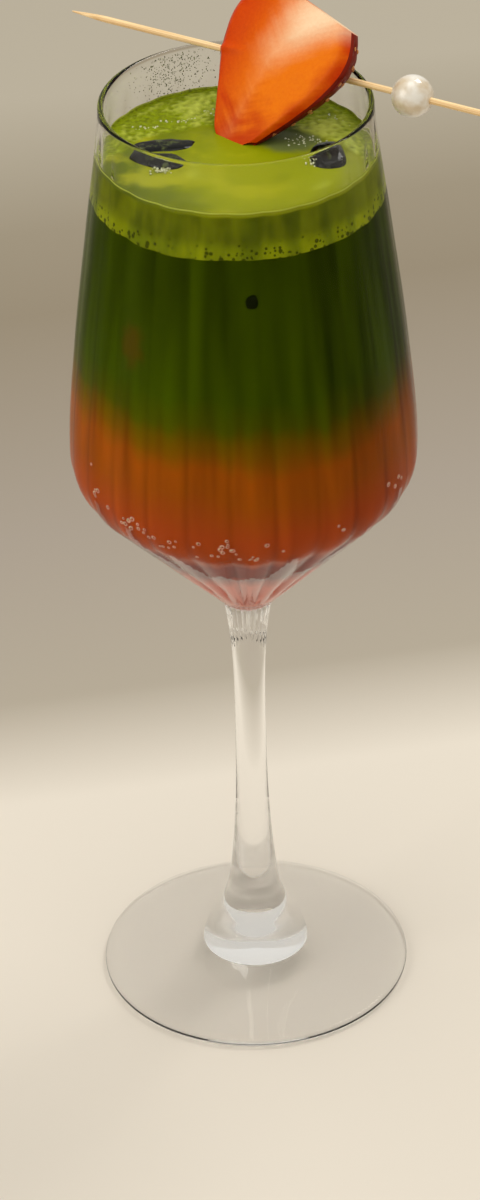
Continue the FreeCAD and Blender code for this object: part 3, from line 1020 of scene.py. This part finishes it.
class BuildStage(Operator):
    """Adds the floor, the soft lights, the surroundings and the camera"""

    bl_idname = "tonic.stage"
    bl_label = "Stage"

    def execute(self, context):
        scene = context.scene
        scene.view_settings.view_transform = "Standard"
        self.add_floor(scene)
        self.add_world(scene)
        self.add_lamps(scene)
        self.add_camera(scene)
        return {"FINISHED"}

    def add_floor(self, scene):
        bm = bmesh.new()
        bmesh.ops.create_circle(bm, cap_ends=True, segments=96, radius=4.0)
        below_foot = 0.15 * MM
        bmesh.ops.translate(bm, verts=bm.verts, vec=(0, 0, -below_foot))
        mesh = bpy.data.meshes.new("floor")
        bm.to_mesh(mesh)
        bm.free()
        floor = bpy.data.objects.new("floor", mesh)
        scene.collection.objects.link(floor)
        # Matt plaster, palest under the glass and deeper behind it: the darker floor behind is
        # painted shade.
        material = new_material("Matt plaster floor")
        coordinates = add(material, "ShaderNodeTexCoord")
        back = add(material, VECTOR_MATH, {
            0: coordinates.outputs["Object"], 1: (-0.2, 1.0, 0.0),
        }, operation="DOT_PRODUCT")
        depth = add(material, RANGE, {"Value": back, "From Max": 0.5})
        shade = add(material, "ShaderNodeValToRGB", {0: depth}, stops=[
            (0.15, linear("#ddd5c8")),
            (0.24, linear("#aaa192")),
            (0.4, linear("#a0968a")),
            (0.64, linear("#8f8472")),
            (0.74, linear("#958b79")),
            (0.92, linear("#b0a898")),
        ])
        shader = add(material, PRINCIPLED, {
            "Base Color": shade, "Roughness": 0.9, "Specular IOR Level": 0.1,
        })
        add(material, OUTPUT, {"Surface": shader})
        mesh.materials.append(material)

    def add_world(self, scene):
        world = bpy.data.worlds.new("Soft room")
        scene.world = world
        world.use_nodes = True
        world.node_tree.nodes.clear()
        coordinates = add(world, "ShaderNodeTexCoord")
        parts = add(world, "ShaderNodeSeparateXYZ", {0: coordinates.outputs["Generated"]})
        room = add(world, "ShaderNodeValToRGB", {0: parts.outputs["Z"]}, stops=[
            (0.0, linear("#d4cfc5")),
            (0.3, linear("#cecac2")),
            (0.8, linear("#e6e4de")),
        ])
        background = add(world, "ShaderNodeBackground", {"Color": room, "Strength": 1.0})
        add(world, "ShaderNodeOutputWorld", {"Surface": background})

    def add_lamps(self, scene):
        target = Vector((0, 0, 0.13))
        # Name, place and width in metres, power in watts, and colour.
        lamps = [
            ("key softbox", (0.5, 0.55, 1.15), 0.45, 4.6, (1.0, 0.985, 0.95)),
            ("left softbox", (-1.0, -0.5, 0.8), 0.8, 5.0, (1.0, 0.97, 0.93)),
            ("overhead softbox", (-0.05, 0.0, 1.1), 0.5, 1.4, (1.0, 0.985, 0.96)),
        ]
        for name, place, width, power, shade in lamps:
            lamp = bpy.data.lights.new(name, "AREA")
            lamp.shape = "SQUARE"
            lamp.size = width
            lamp.energy = power
            lamp.color = shade
            holder = bpy.data.objects.new(name, lamp)
            holder.location = place
            holder.rotation_euler = (target - Vector(place)).to_track_quat("-Z", "Y").to_euler()
            scene.collection.objects.link(holder)

    def add_camera(self, scene):
        camera = bpy.data.cameras.new("camera")
        camera.sensor_width = 36
        camera.lens = 142.075
        holder = bpy.data.objects.new("camera", camera)
        holder.location = (0, -0.8924177, 0.6801457)
        holder.rotation_euler = [math.radians(turn) for turn in (56.9563, 1.1996, -0.6701)]
        scene.collection.objects.link(holder)
        scene.camera = holder


class BuildGlass(Operator):
    """Builds the ribbed glass with its stem and foot"""

    bl_idname = "tonic.glass"
    bl_label = "Glass"
    # Heights of neighbouring petals round the cone, as shares of the tallest.
    petals = (0.75, 0.12, 0.9, 1.25, 1.1, 0.75, 0.2, 0.15)

    def execute(self, context):
        scene = context.scene
        glass = scene.tonic_glass
        bm = spun(glass_outline(glass), glass.ribs * 12)
        bm.normal_update()
        press_ribs(bm, glass, lambda vert: self.rib_depth(glass, vert))
        foam_top = scene.tonic_drink.foam_top
        for face in bm.faces:
            middle = face.calc_center_median()
            if middle.z > foam_top or middle.z < glass.foot_crown_height:
                face.material_index = 2
            elif middle.z > self.petal_top(glass, middle):
                face.material_index = 1
        materials = [clear_glass(), wet_glass(), thin_glass()]
        finish_piece(bm, "ribbed_glass", materials, "glass")
        return {"FINISHED"}

    def rib_depth(self, glass, vert):
        """Depth of the grooves here: inside, and outside on the cone and on the side above it."""
        outwards = Vector((vert.co.x, vert.co.y, 0)).dot(vert.normal) > 0
        if not outwards:
            return glass.inner_rib_depth
        change = 12 * MM
        share = smooth_step(vert.co.z, glass.widest_height - change, glass.widest_height)
        return glass.cone_rib_depth + (glass.outer_rib_depth - glass.cone_rib_depth) * share

    def petal_top(self, glass, place):
        """How high the cone keeps its gloss here: it ends in a pointed petal on each rib."""
        turn = (math.atan2(place.x, -place.y) - glass.groove_azimuth) / math.tau
        rib, share = divmod(turn * glass.ribs, 1)
        tallest = self.petals[int(rib) % len(self.petals)] * glass.petal_height
        return glass.petals_start + tallest * (1 - abs(2 * share - 1))


class BuildDrink(Operator):
    """Builds the berry tonic and the matcha above it"""

    bl_idname = "tonic.drink"
    bl_label = "Drink"

    def execute(self, context):
        scene = context.scene
        glass = scene.tonic_glass
        drink = scene.tonic_drink
        material = layered_drink(scene)
        bottom = hollow_outline(glass, glass.wall - drink.wall_reach)[0].z
        into_foam = 1.5 * MM
        # Name, bottom and top, slot, and the node that the layer replaces.
        layers = [
            ("berry_tonic_layer", bottom, drink.tonic_top, "berry_tonic", "berry_tonic"),
            ("matcha_layer", drink.tonic_top, drink.foam_bottom + into_foam, "matcha", "matcha"),
        ]
        for name, low, high, slot, node in layers:
            outline = drink_outline(scene, low, high)
            outline += line_points(outline[-1], point(0, high), 3)[1:]
            bm = spun(outline, glass.ribs * 12)
            press_ribs(bm, glass, lambda vert: glass.inner_rib_depth)
            finish_piece(bm, name, [material], node)
        return {"FINISHED"}


class BuildFoam(Operator):
    """Builds the foam with its meniscus, swells and uneven lower edge"""

    bl_idname = "tonic.foam"
    bl_label = "Foam"

    def execute(self, context):
        scene = context.scene
        glass = scene.tonic_glass
        drink = scene.tonic_drink
        past_matcha = 0.06 * MM
        meniscus_width = 2.2 * MM
        side = drink_outline(
            scene, drink.foam_bottom, drink.foam_top + drink.meniscus, past_matcha
        )
        lip = side[-1]
        flat = point(lip.x - meniscus_width, drink.foam_top)
        meniscus = curve_points(
            [lip, flat], Vector((-0.25, 0, -1)), Vector((-1, 0, -0.03)), 8
        )
        top = line_points(flat, point(0, drink.foam_top), 60)
        bm = spun(side + meniscus[1:] + top[1:], glass.ribs * 12)
        press_ribs(bm, glass, lambda vert: glass.inner_rib_depth)
        self.roughen(bm, drink)
        finish_piece(bm, "foam_layer", [matcha_foam(scene)], "foam")
        return {"FINISHED"}

    def roughen(self, bm, drink):
        """Waves the lower edge and swells the top, more so in the froth at the back."""
        # Noise steps per metre: waves of about 7 mm, swells of 9 mm and froth of 1 mm.
        waves = 140
        swells = 110
        froth = 900
        touching = 0.01 * MM
        for vert in bm.verts:
            radius = math.hypot(vert.co.x, vert.co.y)
            if vert.co.z < drink.foam_bottom + touching and radius > 20 * MM:
                around = Vector((vert.co.x, vert.co.y, 0)) * waves
                vert.co.z += noise.noise(around) * drink.edge_wave
            elif vert.co.z > drink.foam_top - touching:
                inside = 1 - smooth_step(radius, 25 * MM, 28 * MM)
                behind = smooth_step((vert.co - Vector(FROTH_CENTRE)).length, 29 * MM, 31 * MM)
                fine = noise.noise(vert.co * froth) * 0.22 * MM + 0.25 * MM
                vert.co.z += noise.noise(vert.co * swells) * 0.35 * MM * inside
                vert.co.z += fine * behind * (1 - smooth_step(radius, 27 * MM, 28.5 * MM))


class BuildIce(Operator):
    """Builds the ice that shows through the foam and the wet bubbles round it"""

    bl_idname = "tonic.ice"
    bl_label = "Ice and foam bubbles"

    def execute(self, context):
        scene = context.scene
        self.add_ice(scene)
        self.add_bubbles(scene)
        return {"FINISHED"}

    def add_ice(self, scene):
        top = scene.tonic_drink.foam_top
        shape = bmesh.new()
        bmesh.ops.create_cube(shape, size=2)
        bmesh.ops.bevel(
            shape, geom=shape.edges[:], offset=0.75, offset_type="OFFSET", segments=8,
            profile=0.5, affect="EDGES", material=-1,
        )
        bmesh.ops.recalc_face_normals(shape, faces=shape.faces)
        # Each lump: middle, half sizes, turn in degrees about Z and tilt about X, in millimetres.
        lumps = [
            ((-15.8, 2.6, -0.8), (7.4, 2.7, 1.3), 4, 3),
            ((-16.4, -3.9, -0.55), (6.6, 3.2, 1.5), -26, -6),
            ((19.3, -4.6, -0.6), (3.7, 4.9, 2.6), 12, 8),
        ]
        places = []
        for middle, half, turn, tilt in lumps:
            place = Matrix.Translation(Vector(middle) * MM + Vector((0, 0, top)))
            place @= Matrix.Rotation(math.radians(turn), 4, "Z")
            place @= Matrix.Rotation(math.radians(tilt), 4, "X")
            places.append(place @ Matrix.Diagonal((*(Vector(half) * MM), 1)))
        bm = copies(shape, places)
        # Unseeded, this noise differs from run to run. Its dents are about 4 mm wide.
        noise.seed_set(1)
        melted_dents = 260
        for vert in bm.verts:
            vert.co += noise.noise_vector(vert.co * melted_dents) * 0.5 * MM
        finish_piece(bm, "ice_lumps", [wet_ice(scene)])

    def add_bubbles(self, scene):
        """Scatters small round bubbles in clusters on the foam."""
        top = scene.tonic_drink.foam_top
        chance = random.Random(7)
        # Each cluster: middle and spread in X and Y, in millimetres, and number of bubbles.
        clusters = [
            ((-15.6, -8.4), (2.6, 1.3), 46),
            ((-6.4, 17.0), (2.2, 2.2), 40),
            ((-11.0, 13.6), (3.4, 1.0), 22),
            ((-19.6, 10.6), (2.6, 1.2), 16),
            ((20.6, -2.2), (1.5, 1.6), 14),
            ((16.2, -7.4), (1.8, 1.4), 16),
            ((14.5, 3.5), (4.6, 3.0), 46),
            ((20.0, 12.5), (3.0, 3.5), 26),
        ]
        places = []
        for middle, spread, number in clusters:
            for _ in range(number):
                x = chance.gauss(middle[0], spread[0] / 2)
                y = chance.gauss(middle[1], spread[1] / 2)
                size = chance.uniform(0.1, 0.3) * MM
                spot = Vector((x * MM, y * MM, top + self.height_over(x, y) * MM))
                places.append(Matrix.Translation(spot) @ Matrix.Scale(size, 4))
        finish_piece(copies(ball(1), places), "foam_bubbles", [foam_bubbles(scene)])

    def height_over(self, x, y):
        """Height of a bubble over the foam, in millimetres: more on the right-hand lump of ice."""
        from_lump = math.hypot(x - 19.3, y + 4.6)
        on_foam = 0.15
        on_ice = 1.7
        return on_foam + on_ice * (1 - smooth_step(from_lump, 2.5, 5.0))


class BuildWallBubbles(Operator):
    """Builds the gas bubbles held on the wall in the tonic"""

    bl_idname = "tonic.wall_bubbles"
    bl_label = "Bubbles on the wall"

    def execute(self, context):
        scene = context.scene
        glass = scene.tonic_glass
        inset = glass.wall - scene.tonic_drink.wall_reach
        chance = random.Random(11)
        # Each cluster: azimuth and spread in degrees, height and spread in millimetres, number.
        clusters = [
            (-26, 13, 136.0, 3.2, 13),
            (-10, 13, 135.0, 3.6, 11),
            (-43, 8, 138.0, 2.4, 11),
            (4, 7, 134.0, 3.0, 7),
            (33, 4, 137.0, 1.6, 3),
            (-58, 5, 142.0, 3.0, 7),
            (60, 5, 143.0, 3.0, 4),
        ]
        clusters += [(chance.uniform(60, 285), 9, 138.5, 2.2, 5) for _ in range(9)]
        places = []
        for azimuth, turn, height, rise, number in clusters:
            for _ in range(number):
                spot = wall_place(
                    glass, math.radians(chance.gauss(azimuth, turn / 2)),
                    chance.gauss(height, rise / 2) * MM, inset - 0.1 * MM,
                )
                places.append(spot @ Matrix.Scale(chance.uniform(0.32, 0.62) * MM, 4))
        # A ring of unit size is 0.8 in radius, and its tube 0.44 wide and 0.6 tall.
        ring = [
            Vector((0.8 + 0.22 * math.cos(turn), 0, 0.3 * math.sin(turn)))
            for turn in (math.tau * step / 8 for step in range(9))
        ]
        rings = copies(spun(ring, 14), places)
        finish_piece(rings, "wall_bubble_rings", [gas_bubbles(scene)])
        # Painted highlight: a pale ball in each ring stands for the bubble's glint.
        glints = [
            place @ Matrix.Translation((-0.3, 0.42, 0.2)) @ Matrix.Scale(0.34, 4)
            for place in places
        ]
        finish_piece(copies(ball(1), glints), "wall_bubble_glints", [foam_bubbles(scene)])
        return {"FINISHED"}


class BuildSplashes(Operator):
    """Builds the splashes on the wall above the foam and the clot in the matcha"""

    bl_idname = "tonic.splashes"
    bl_label = "Splashes and clot"

    def execute(self, context):
        scene = context.scene
        glass = scene.tonic_glass
        chance = random.Random(5)
        number = 520
        lowest = 213.5  # millimetres
        band = 10.5
        thickness = 0.08 * MM
        places = []
        for _ in range(number):
            azimuth = chance.gauss(-152, 10)
            height = lowest + band * chance.random() ** 0.75
            spot = wall_place(glass, math.radians(azimuth), height * MM, glass.wall)
            wide = chance.uniform(0.05, 0.15) * MM
            tall = wide * chance.uniform(0.8, 1.8)
            places.append(spot @ Matrix.Diagonal((wide, tall, thickness, 1)))
        finish_piece(copies(ball(1), places), "wall_splashes", [dried_matcha(scene)])
        # The clot lies flat against the wall in the matcha.
        inset = glass.wall - scene.tonic_drink.wall_reach
        spot = wall_place(glass, math.radians(4.4), 194.4 * MM, inset)
        clot = ball(3)
        for vert in clot.verts:
            vert.co *= 1 + 0.35 * noise.noise(vert.co * 1.3)
        bmesh.ops.transform(
            clot, matrix=spot @ Matrix.Diagonal((1.35 * MM, 1.5 * MM, 0.2 * MM, 1)),
            verts=clot.verts,
        )
        finish_piece(clot, "tea_clot", [tea_speck()])
        return {"FINISHED"}


# ------------------------------------------------------------------ garnish

def pick_direction(garnish):
    return Vector((math.cos(garnish.pick_yaw), math.sin(garnish.pick_yaw), 0))


def along_pick(scene, reach):
    """A point of the pick's axis, counted from the middle of its chord across the rim."""
    glass = scene.tonic_glass
    garnish = scene.tonic_garnish
    lean = math.cos(garnish.face_rise) * math.cos(garnish.face_yaw + garnish.pick_yaw)
    back = (garnish.berry_depth - garnish.pierce_depth) / lean
    offset = glass.rim_radius - glass.wall - back - garnish.rim_gap
    way = pick_direction(garnish)
    middle = Vector((-way.y, way.x, 0)) * offset
    return middle + Vector((0, 0, glass.height + garnish.pick_radius)) + way * reach


def pick_place(scene, reach):
    """Carries +X onto the pick's direction and the origin to a point of the pick."""
    yaw = Matrix.Rotation(scene.tonic_garnish.pick_yaw, 4, "Z")
    return Matrix.Translation(along_pick(scene, reach)) @ yaw


def berry_place(scene):
    """Carries the upright half, cut face up, to its place on the pick."""
    garnish = scene.tonic_garnish
    level = math.cos(garnish.face_rise)
    normal = Vector((
        -math.sin(garnish.face_yaw) * level,
        -math.cos(garnish.face_yaw) * level,
        math.sin(garnish.face_rise),
    ))
    steepest = (Vector((0, 0, 1)) - normal * normal.z).normalized()
    across = steepest.cross(normal)
    up = steepest * math.cos(garnish.face_roll) + across * math.sin(garnish.face_roll)
    width = up.cross(normal)
    pierced = along_pick(scene, garnish.berry_shift)
    tip = pierced - up * garnish.pierce_height + normal * garnish.pierce_depth
    turn = Matrix((width, up, normal)).transposed().to_4x4()
    return Matrix.Translation(tip) @ turn


def berry_outline(garnish):
    """One side of the berry, from its tip to just past the hull cut. Y is up the berry."""
    half = garnish.berry_half_width
    tall = garnish.berry_length
    tip = garnish.berry_tip_half_width
    hull = garnish.hull_half_width
    # The blunt tip first, then the shoulders as shares of the half width and the length.
    places = [(0, 0), (tip * 0.5, tip * 0.1), (tip, tip * 0.42), (tip * 1.45, tip * 1.05)]
    places += [(half * out, tall * up) for out, up in [(0.66, 0.32), (0.9, 0.54), (1.0, 0.78)]]
    places += [(hull, tall * 0.98), (hull * 0.7, tall * 1.1)]
    return curve_points(
        [Vector((x, y, 0)) for x, y in places], Vector((1, 0.05, 0)), Vector((-1, 0.5, 0)), 16
    )


class BuildPick(Operator):
    """Builds the bamboo pick with its sharp end"""

    bl_idname = "tonic.pick"
    bl_label = "Pick"

    def execute(self, context):
        scene = context.scene
        garnish = scene.tonic_garnish
        radius = garnish.pick_radius
        blunt_end = Vector((0.25 * MM, 0, 0.16 * MM))
        chamfer = 0.1 * MM
        outline = curve_points(
            [Vector((0, 0, 0)), blunt_end, Vector((garnish.pick_point, 0, radius))],
            Vector((0, 0, 1)), Vector((1, 0, 0.02)), 10,
        )
        end = Vector((garnish.pick_length, 0, radius))
        outline += line_points(outline[-1], end - Vector((chamfer, 0, 0)), 90)[1:]
        outline += [end - Vector((0, 0, chamfer)), Vector((garnish.pick_length, 0, 0))]
        bm = spun(outline, 28, axis=(1, 0, 0))
        # Whittled flats about 25 mm long run along the stick.
        flats = 40
        depth = 0.05
        for vert in bm.verts:
            around = math.atan2(vert.co.z, vert.co.y)
            flat = noise.noise(Vector((vert.co.x * flats, math.cos(around), math.sin(around))))
            squeeze = 1 - depth * (1 + flat)
            vert.co.y *= squeeze
            vert.co.z *= squeeze
        bmesh.ops.transform(bm, matrix=pick_place(scene, -garnish.pick_reach), verts=bm.verts)
        finish_piece(bm, "bamboo_pick", [bamboo(scene)], "pick")
        return {"FINISHED"}


class BuildBead(Operator):
    """Builds the pearl bead, drilled for the pick"""

    bl_idname = "tonic.bead"
    bl_label = "Pearl bead"

    def execute(self, context):
        scene = context.scene
        garnish = scene.tonic_garnish
        half = garnish.bead_half_length
        clearance = 0.02 * MM
        hole = garnish.pick_radius + clearance
        rise = garnish.bead_radius - hole
        radius = (half ** 2 + rise ** 2) / (2 * rise)
        middle = garnish.bead_radius - radius
        spread = math.asin(half / radius)
        turns = [spread * step / 24 for step in range(-24, 25)]
        outline = [
            Vector((math.sin(turn) * radius, 0, middle + math.cos(turn) * radius))
            for turn in turns
        ]
        bm = spun(outline + outline[:1], 64, axis=(1, 0, 0))
        bmesh.ops.transform(bm, matrix=pick_place(scene, garnish.bead_reach), verts=bm.verts)
        finish_piece(bm, "pearl", [pearl_lacquer(scene)], "pearl_bead")
        return {"FINISHED"}


class BuildStrawberry(Operator):
    """Builds the strawberry half: cut face, dimpled skin and seeds"""

    bl_idname = "tonic.strawberry"
    bl_label = "Strawberry half"

    def execute(self, context):
        scene = context.scene
        garnish = scene.tonic_garnish
        outline = berry_outline(garnish)
        bm = spun(outline, 220, axis=(0, 1, 0))
        flatten = garnish.berry_depth / garnish.berry_half_width
        cut_face_crown = 0.02
        for vert in bm.verts:
            vert.co.z *= flatten if vert.co.z < 0 else cut_face_crown
        seeds = self.seed_places(garnish, outline, flatten)
        self.dimple(bm, seeds)
        self.raise_over_pick(bm, scene)
        self.mark(bm, garnish, outline, flatten)
        self.round_cut_edge(bm, garnish, outline, flatten)
        seeds = self.seeds_left(garnish, outline, flatten, seeds)
        self.cut_hull(bm, garnish)
        self.choose_materials(bm)
        place = berry_place(scene)
        bmesh.ops.transform(bm, matrix=place, verts=bm.verts)
        finish_piece(
            bm, "strawberry_cut_half", [berry_flesh(scene), berry_skin(scene)],
            "strawberry_half",
        )
        seed = ball(1)
        bmesh.ops.scale(seed, vec=(0.34 * MM, 0.58 * MM, 0.24 * MM), verts=seed.verts)
        bm = copies(seed, [place @ spot for spot in seeds])
        finish_piece(bm, "strawberry_seeds", [berry_seeds(scene)])
        return {"FINISHED"}

    def radius_at(self, outline, height):
        """Half width of the berry at a height above its tip."""
        for below, above in zip(outline, outline[1:]):
            if below.y <= height <= above.y and above.y > below.y:
                return below.lerp(above, (height - below.y) / (above.y - below.y)).x
        return outline[-1].x

    def seed_places(self, garnish, outline, flatten):
        """Seeds in staggered rings round the skin: +Z points out of it and +Y up the berry."""
        chance = random.Random(3)
        places = []
        rows = int(garnish.berry_length / garnish.seed_spacing)
        sunk = 0.16 * MM
        for row in range(rows):
            height = (row + 0.75) * garnish.seed_spacing
            radius = self.radius_at(outline, height)
            number = max(round(math.pi * radius / garnish.seed_spacing), 2)
            for index in range(number):
                stagger = 0.25 + 0.5 * (row % 2)
                share = (index + stagger) / number + chance.uniform(-0.12, 0.12) / number
                around = math.pi + math.pi * min(max(share, 0.02), 0.98)
                at = height + chance.uniform(-0.35, 0.35) * MM
                wide = self.radius_at(outline, at)
                above = self.radius_at(outline, at + 0.5 * MM)
                spot, higher = (
                    Vector((r * math.cos(around), y, r * math.sin(around) * flatten))
                    for r, y in ((wide, at), (above, at + 0.5 * MM))
                )
                up = (higher - spot).normalized()
                sideways = Vector((-math.sin(around), 0, math.cos(around) * flatten)).normalized()
                outwards = sideways.cross(up).normalized()
                if outwards.dot(Vector((spot.x, 0, spot.z))) < 0:
                    outwards.negate()
                sideways = up.cross(outwards)
                axes = Matrix((sideways, up, outwards)).transposed().to_4x4()
                place = Matrix.Translation(spot - outwards * sunk) @ axes
                place @= Matrix.Scale(chance.uniform(0.8, 1.15), 4)
                places.append(place)
        return places

    def dimple(self, bm, seeds):
        """Sinks the skin round each seed, and makes it slightly uneven."""
        depth = 0.42 * MM
        width = 1.0 * MM
        unevenness = 0.15 * MM
        tree = KDTree(len(seeds))
        for index, place in enumerate(seeds):
            tree.insert(place.translation, index)
        tree.balance()
        bm.normal_update()
        for vert in bm.verts:
            _, _, far = tree.find(vert.co)
            if vert.co.z < 0:
                vert.co -= vert.normal * depth * math.exp(-(far / width) ** 2)
                vert.co -= vert.normal * unevenness * (1 + noise.noise(vert.co * 180))

    def raise_over_pick(self, bm, scene):
        """Lifts the cut face in a low ridge where the pick runs close under it."""
        garnish = scene.tonic_garnish
        height = 0.6 * MM
        width = 0.8 * MM
        unevenness = 0.12 * MM
        turn = berry_place(scene).to_3x3().inverted()
        way = turn @ pick_direction(garnish)
        pierced = Vector((0, garnish.pierce_height, 0))
        across = Vector((way.x, way.y, 0)).normalized()
        for vert in bm.verts:
            if vert.co.z >= 0:
                offset = vert.co - pierced
                far = abs(offset.x * across.y - offset.y * across.x)
                shallow = 1 - smooth_step(vert.co.x, -13 * MM, -6 * MM)
                vert.co.z += height * shallow * math.exp(-(far / width) ** 2)
                vert.co.z += unevenness * noise.noise(vert.co * 260)

    def cut_hull(self, bm, garnish):
        normal = Vector((math.sin(garnish.hull_slant), math.cos(garnish.hull_slant), 0))
        cut = bmesh.ops.bisect_plane(
            bm, geom=bm.verts[:] + bm.edges[:] + bm.faces[:], dist=1e-7,
            plane_co=(0, garnish.berry_length, 0), plane_no=normal, clear_outer=True,
        )
        rim = [part for part in cut["geom_cut"] if isinstance(part, bmesh.types.BMEdge)]
        cap = bmesh.ops.edgeloop_fill(bm, edges=rim)["faces"]
        bmesh.ops.poke(bm, faces=cap)
        bmesh.ops.recalc_face_normals(bm, faces=bm.faces)

    def mark(self, bm, garnish, outline, flatten):
        """Stores how far each point lies across and along the berry, and out towards the skin."""
        across = bm.verts.layers.float.new("across")
        out = bm.verts.layers.float.new("out")
        along = bm.verts.layers.float.new("along")
        for vert in bm.verts:
            widest = max(self.radius_at(outline, vert.co.y), 0.5 * MM)
            share = math.hypot(vert.co.x, min(vert.co.z, 0) / flatten) / widest
            vert[across] = vert.co.x / garnish.berry_half_width
            vert[out] = min(share, 1.0)
            vert[along] = vert.co.y / garnish.berry_length

    def round_cut_edge(self, bm, garnish, outline, flatten):
        """Rounds the edge of the cut face down to the skin, and presses the skin below it."""
        out = bm.verts.layers.float["out"]
        for vert in bm.verts:
            deep, drop = self.cut_edge_drop(garnish, outline, flatten, vert.co.y)
            if vert.co.z >= 0:
                vert.co.z -= drop * smooth_step(vert[out], 0.84, 1.06)
            else:
                vert.co.z = vert.co.z * (1 - drop / deep) - drop

    def cut_edge_drop(self, garnish, outline, flatten, height):
        """How deep the berry is at a height, and how far its edge is rounded down there."""
        deep = max(self.radius_at(outline, height), 0.5 * MM) * flatten
        return deep, min(garnish.cut_edge, 0.3 * deep)

    def seeds_left(self, garnish, outline, flatten, seeds):
        """The seeds below the hull cut, moved down with the skin that they sit in."""
        left = []
        margin = 1.5 * MM
        for place in seeds:
            spot = place.translation
            slanted = abs(math.tan(garnish.hull_slant) * spot.x)
            if spot.y < garnish.berry_length - margin - slanted:
                deep, drop = self.cut_edge_drop(garnish, outline, flatten, spot.y)
                place.translation.z = spot.z * (1 - drop / deep) - drop
                left.append(place)
        return left

    def choose_materials(self, bm):
        """Flesh on the cut face and the hull cut, and skin elsewhere."""
        out = bm.verts.layers.float["out"]
        bm.normal_update()
        for face in bm.faces:
            inner = max(vert[out] for vert in face.verts) < 0.97
            cut = (face.normal.z > 0.5 and inner) or face.normal.y > 0.9
            face.material_index = 0 if cut else 1


class TonicPanel(Panel):
    """Lists the pieces in the order in which they are built"""

    bl_idname = "VIEW3D_PT_tonic"
    bl_label = "Matcha tonic"
    bl_space_type = "VIEW_3D"
    bl_region_type = "UI"
    bl_category = "Matcha tonic"

    def draw(self, context):
        for operator in BUILD_ORDER:
            self.layout.operator(operator.bl_idname)


SETTINGS = {
    "tonic_glass": GlassSizes,
    "tonic_drink": DrinkSizes,
    "tonic_colours": DrinkColours,
    "tonic_garnish": GarnishSizes,
    "tonic_garnish_colours": GarnishColours,
}
BUILD_ORDER = [
    BuildStage, BuildGlass, BuildDrink, BuildFoam, BuildIce, BuildWallBubbles, BuildSplashes,
    BuildPick, BuildBead, BuildStrawberry,
]
CLASSES = [*SETTINGS.values(), *BUILD_ORDER, TonicPanel]


def register():
    for each in CLASSES:
        bpy.utils.register_class(each)
    for name, group in SETTINGS.items():
        setattr(bpy.types.Scene, name, PointerProperty(type=group))


def unregister():
    for name in SETTINGS:
        delattr(bpy.types.Scene, name)
    for each in reversed(CLASSES):
        bpy.utils.unregister_class(each)


def main():
    register()
    for operator in BUILD_ORDER:
        family, name = operator.bl_idname.split(".")
        getattr(getattr(bpy.ops, family), name)()


if __name__ == "__main__":
    main()
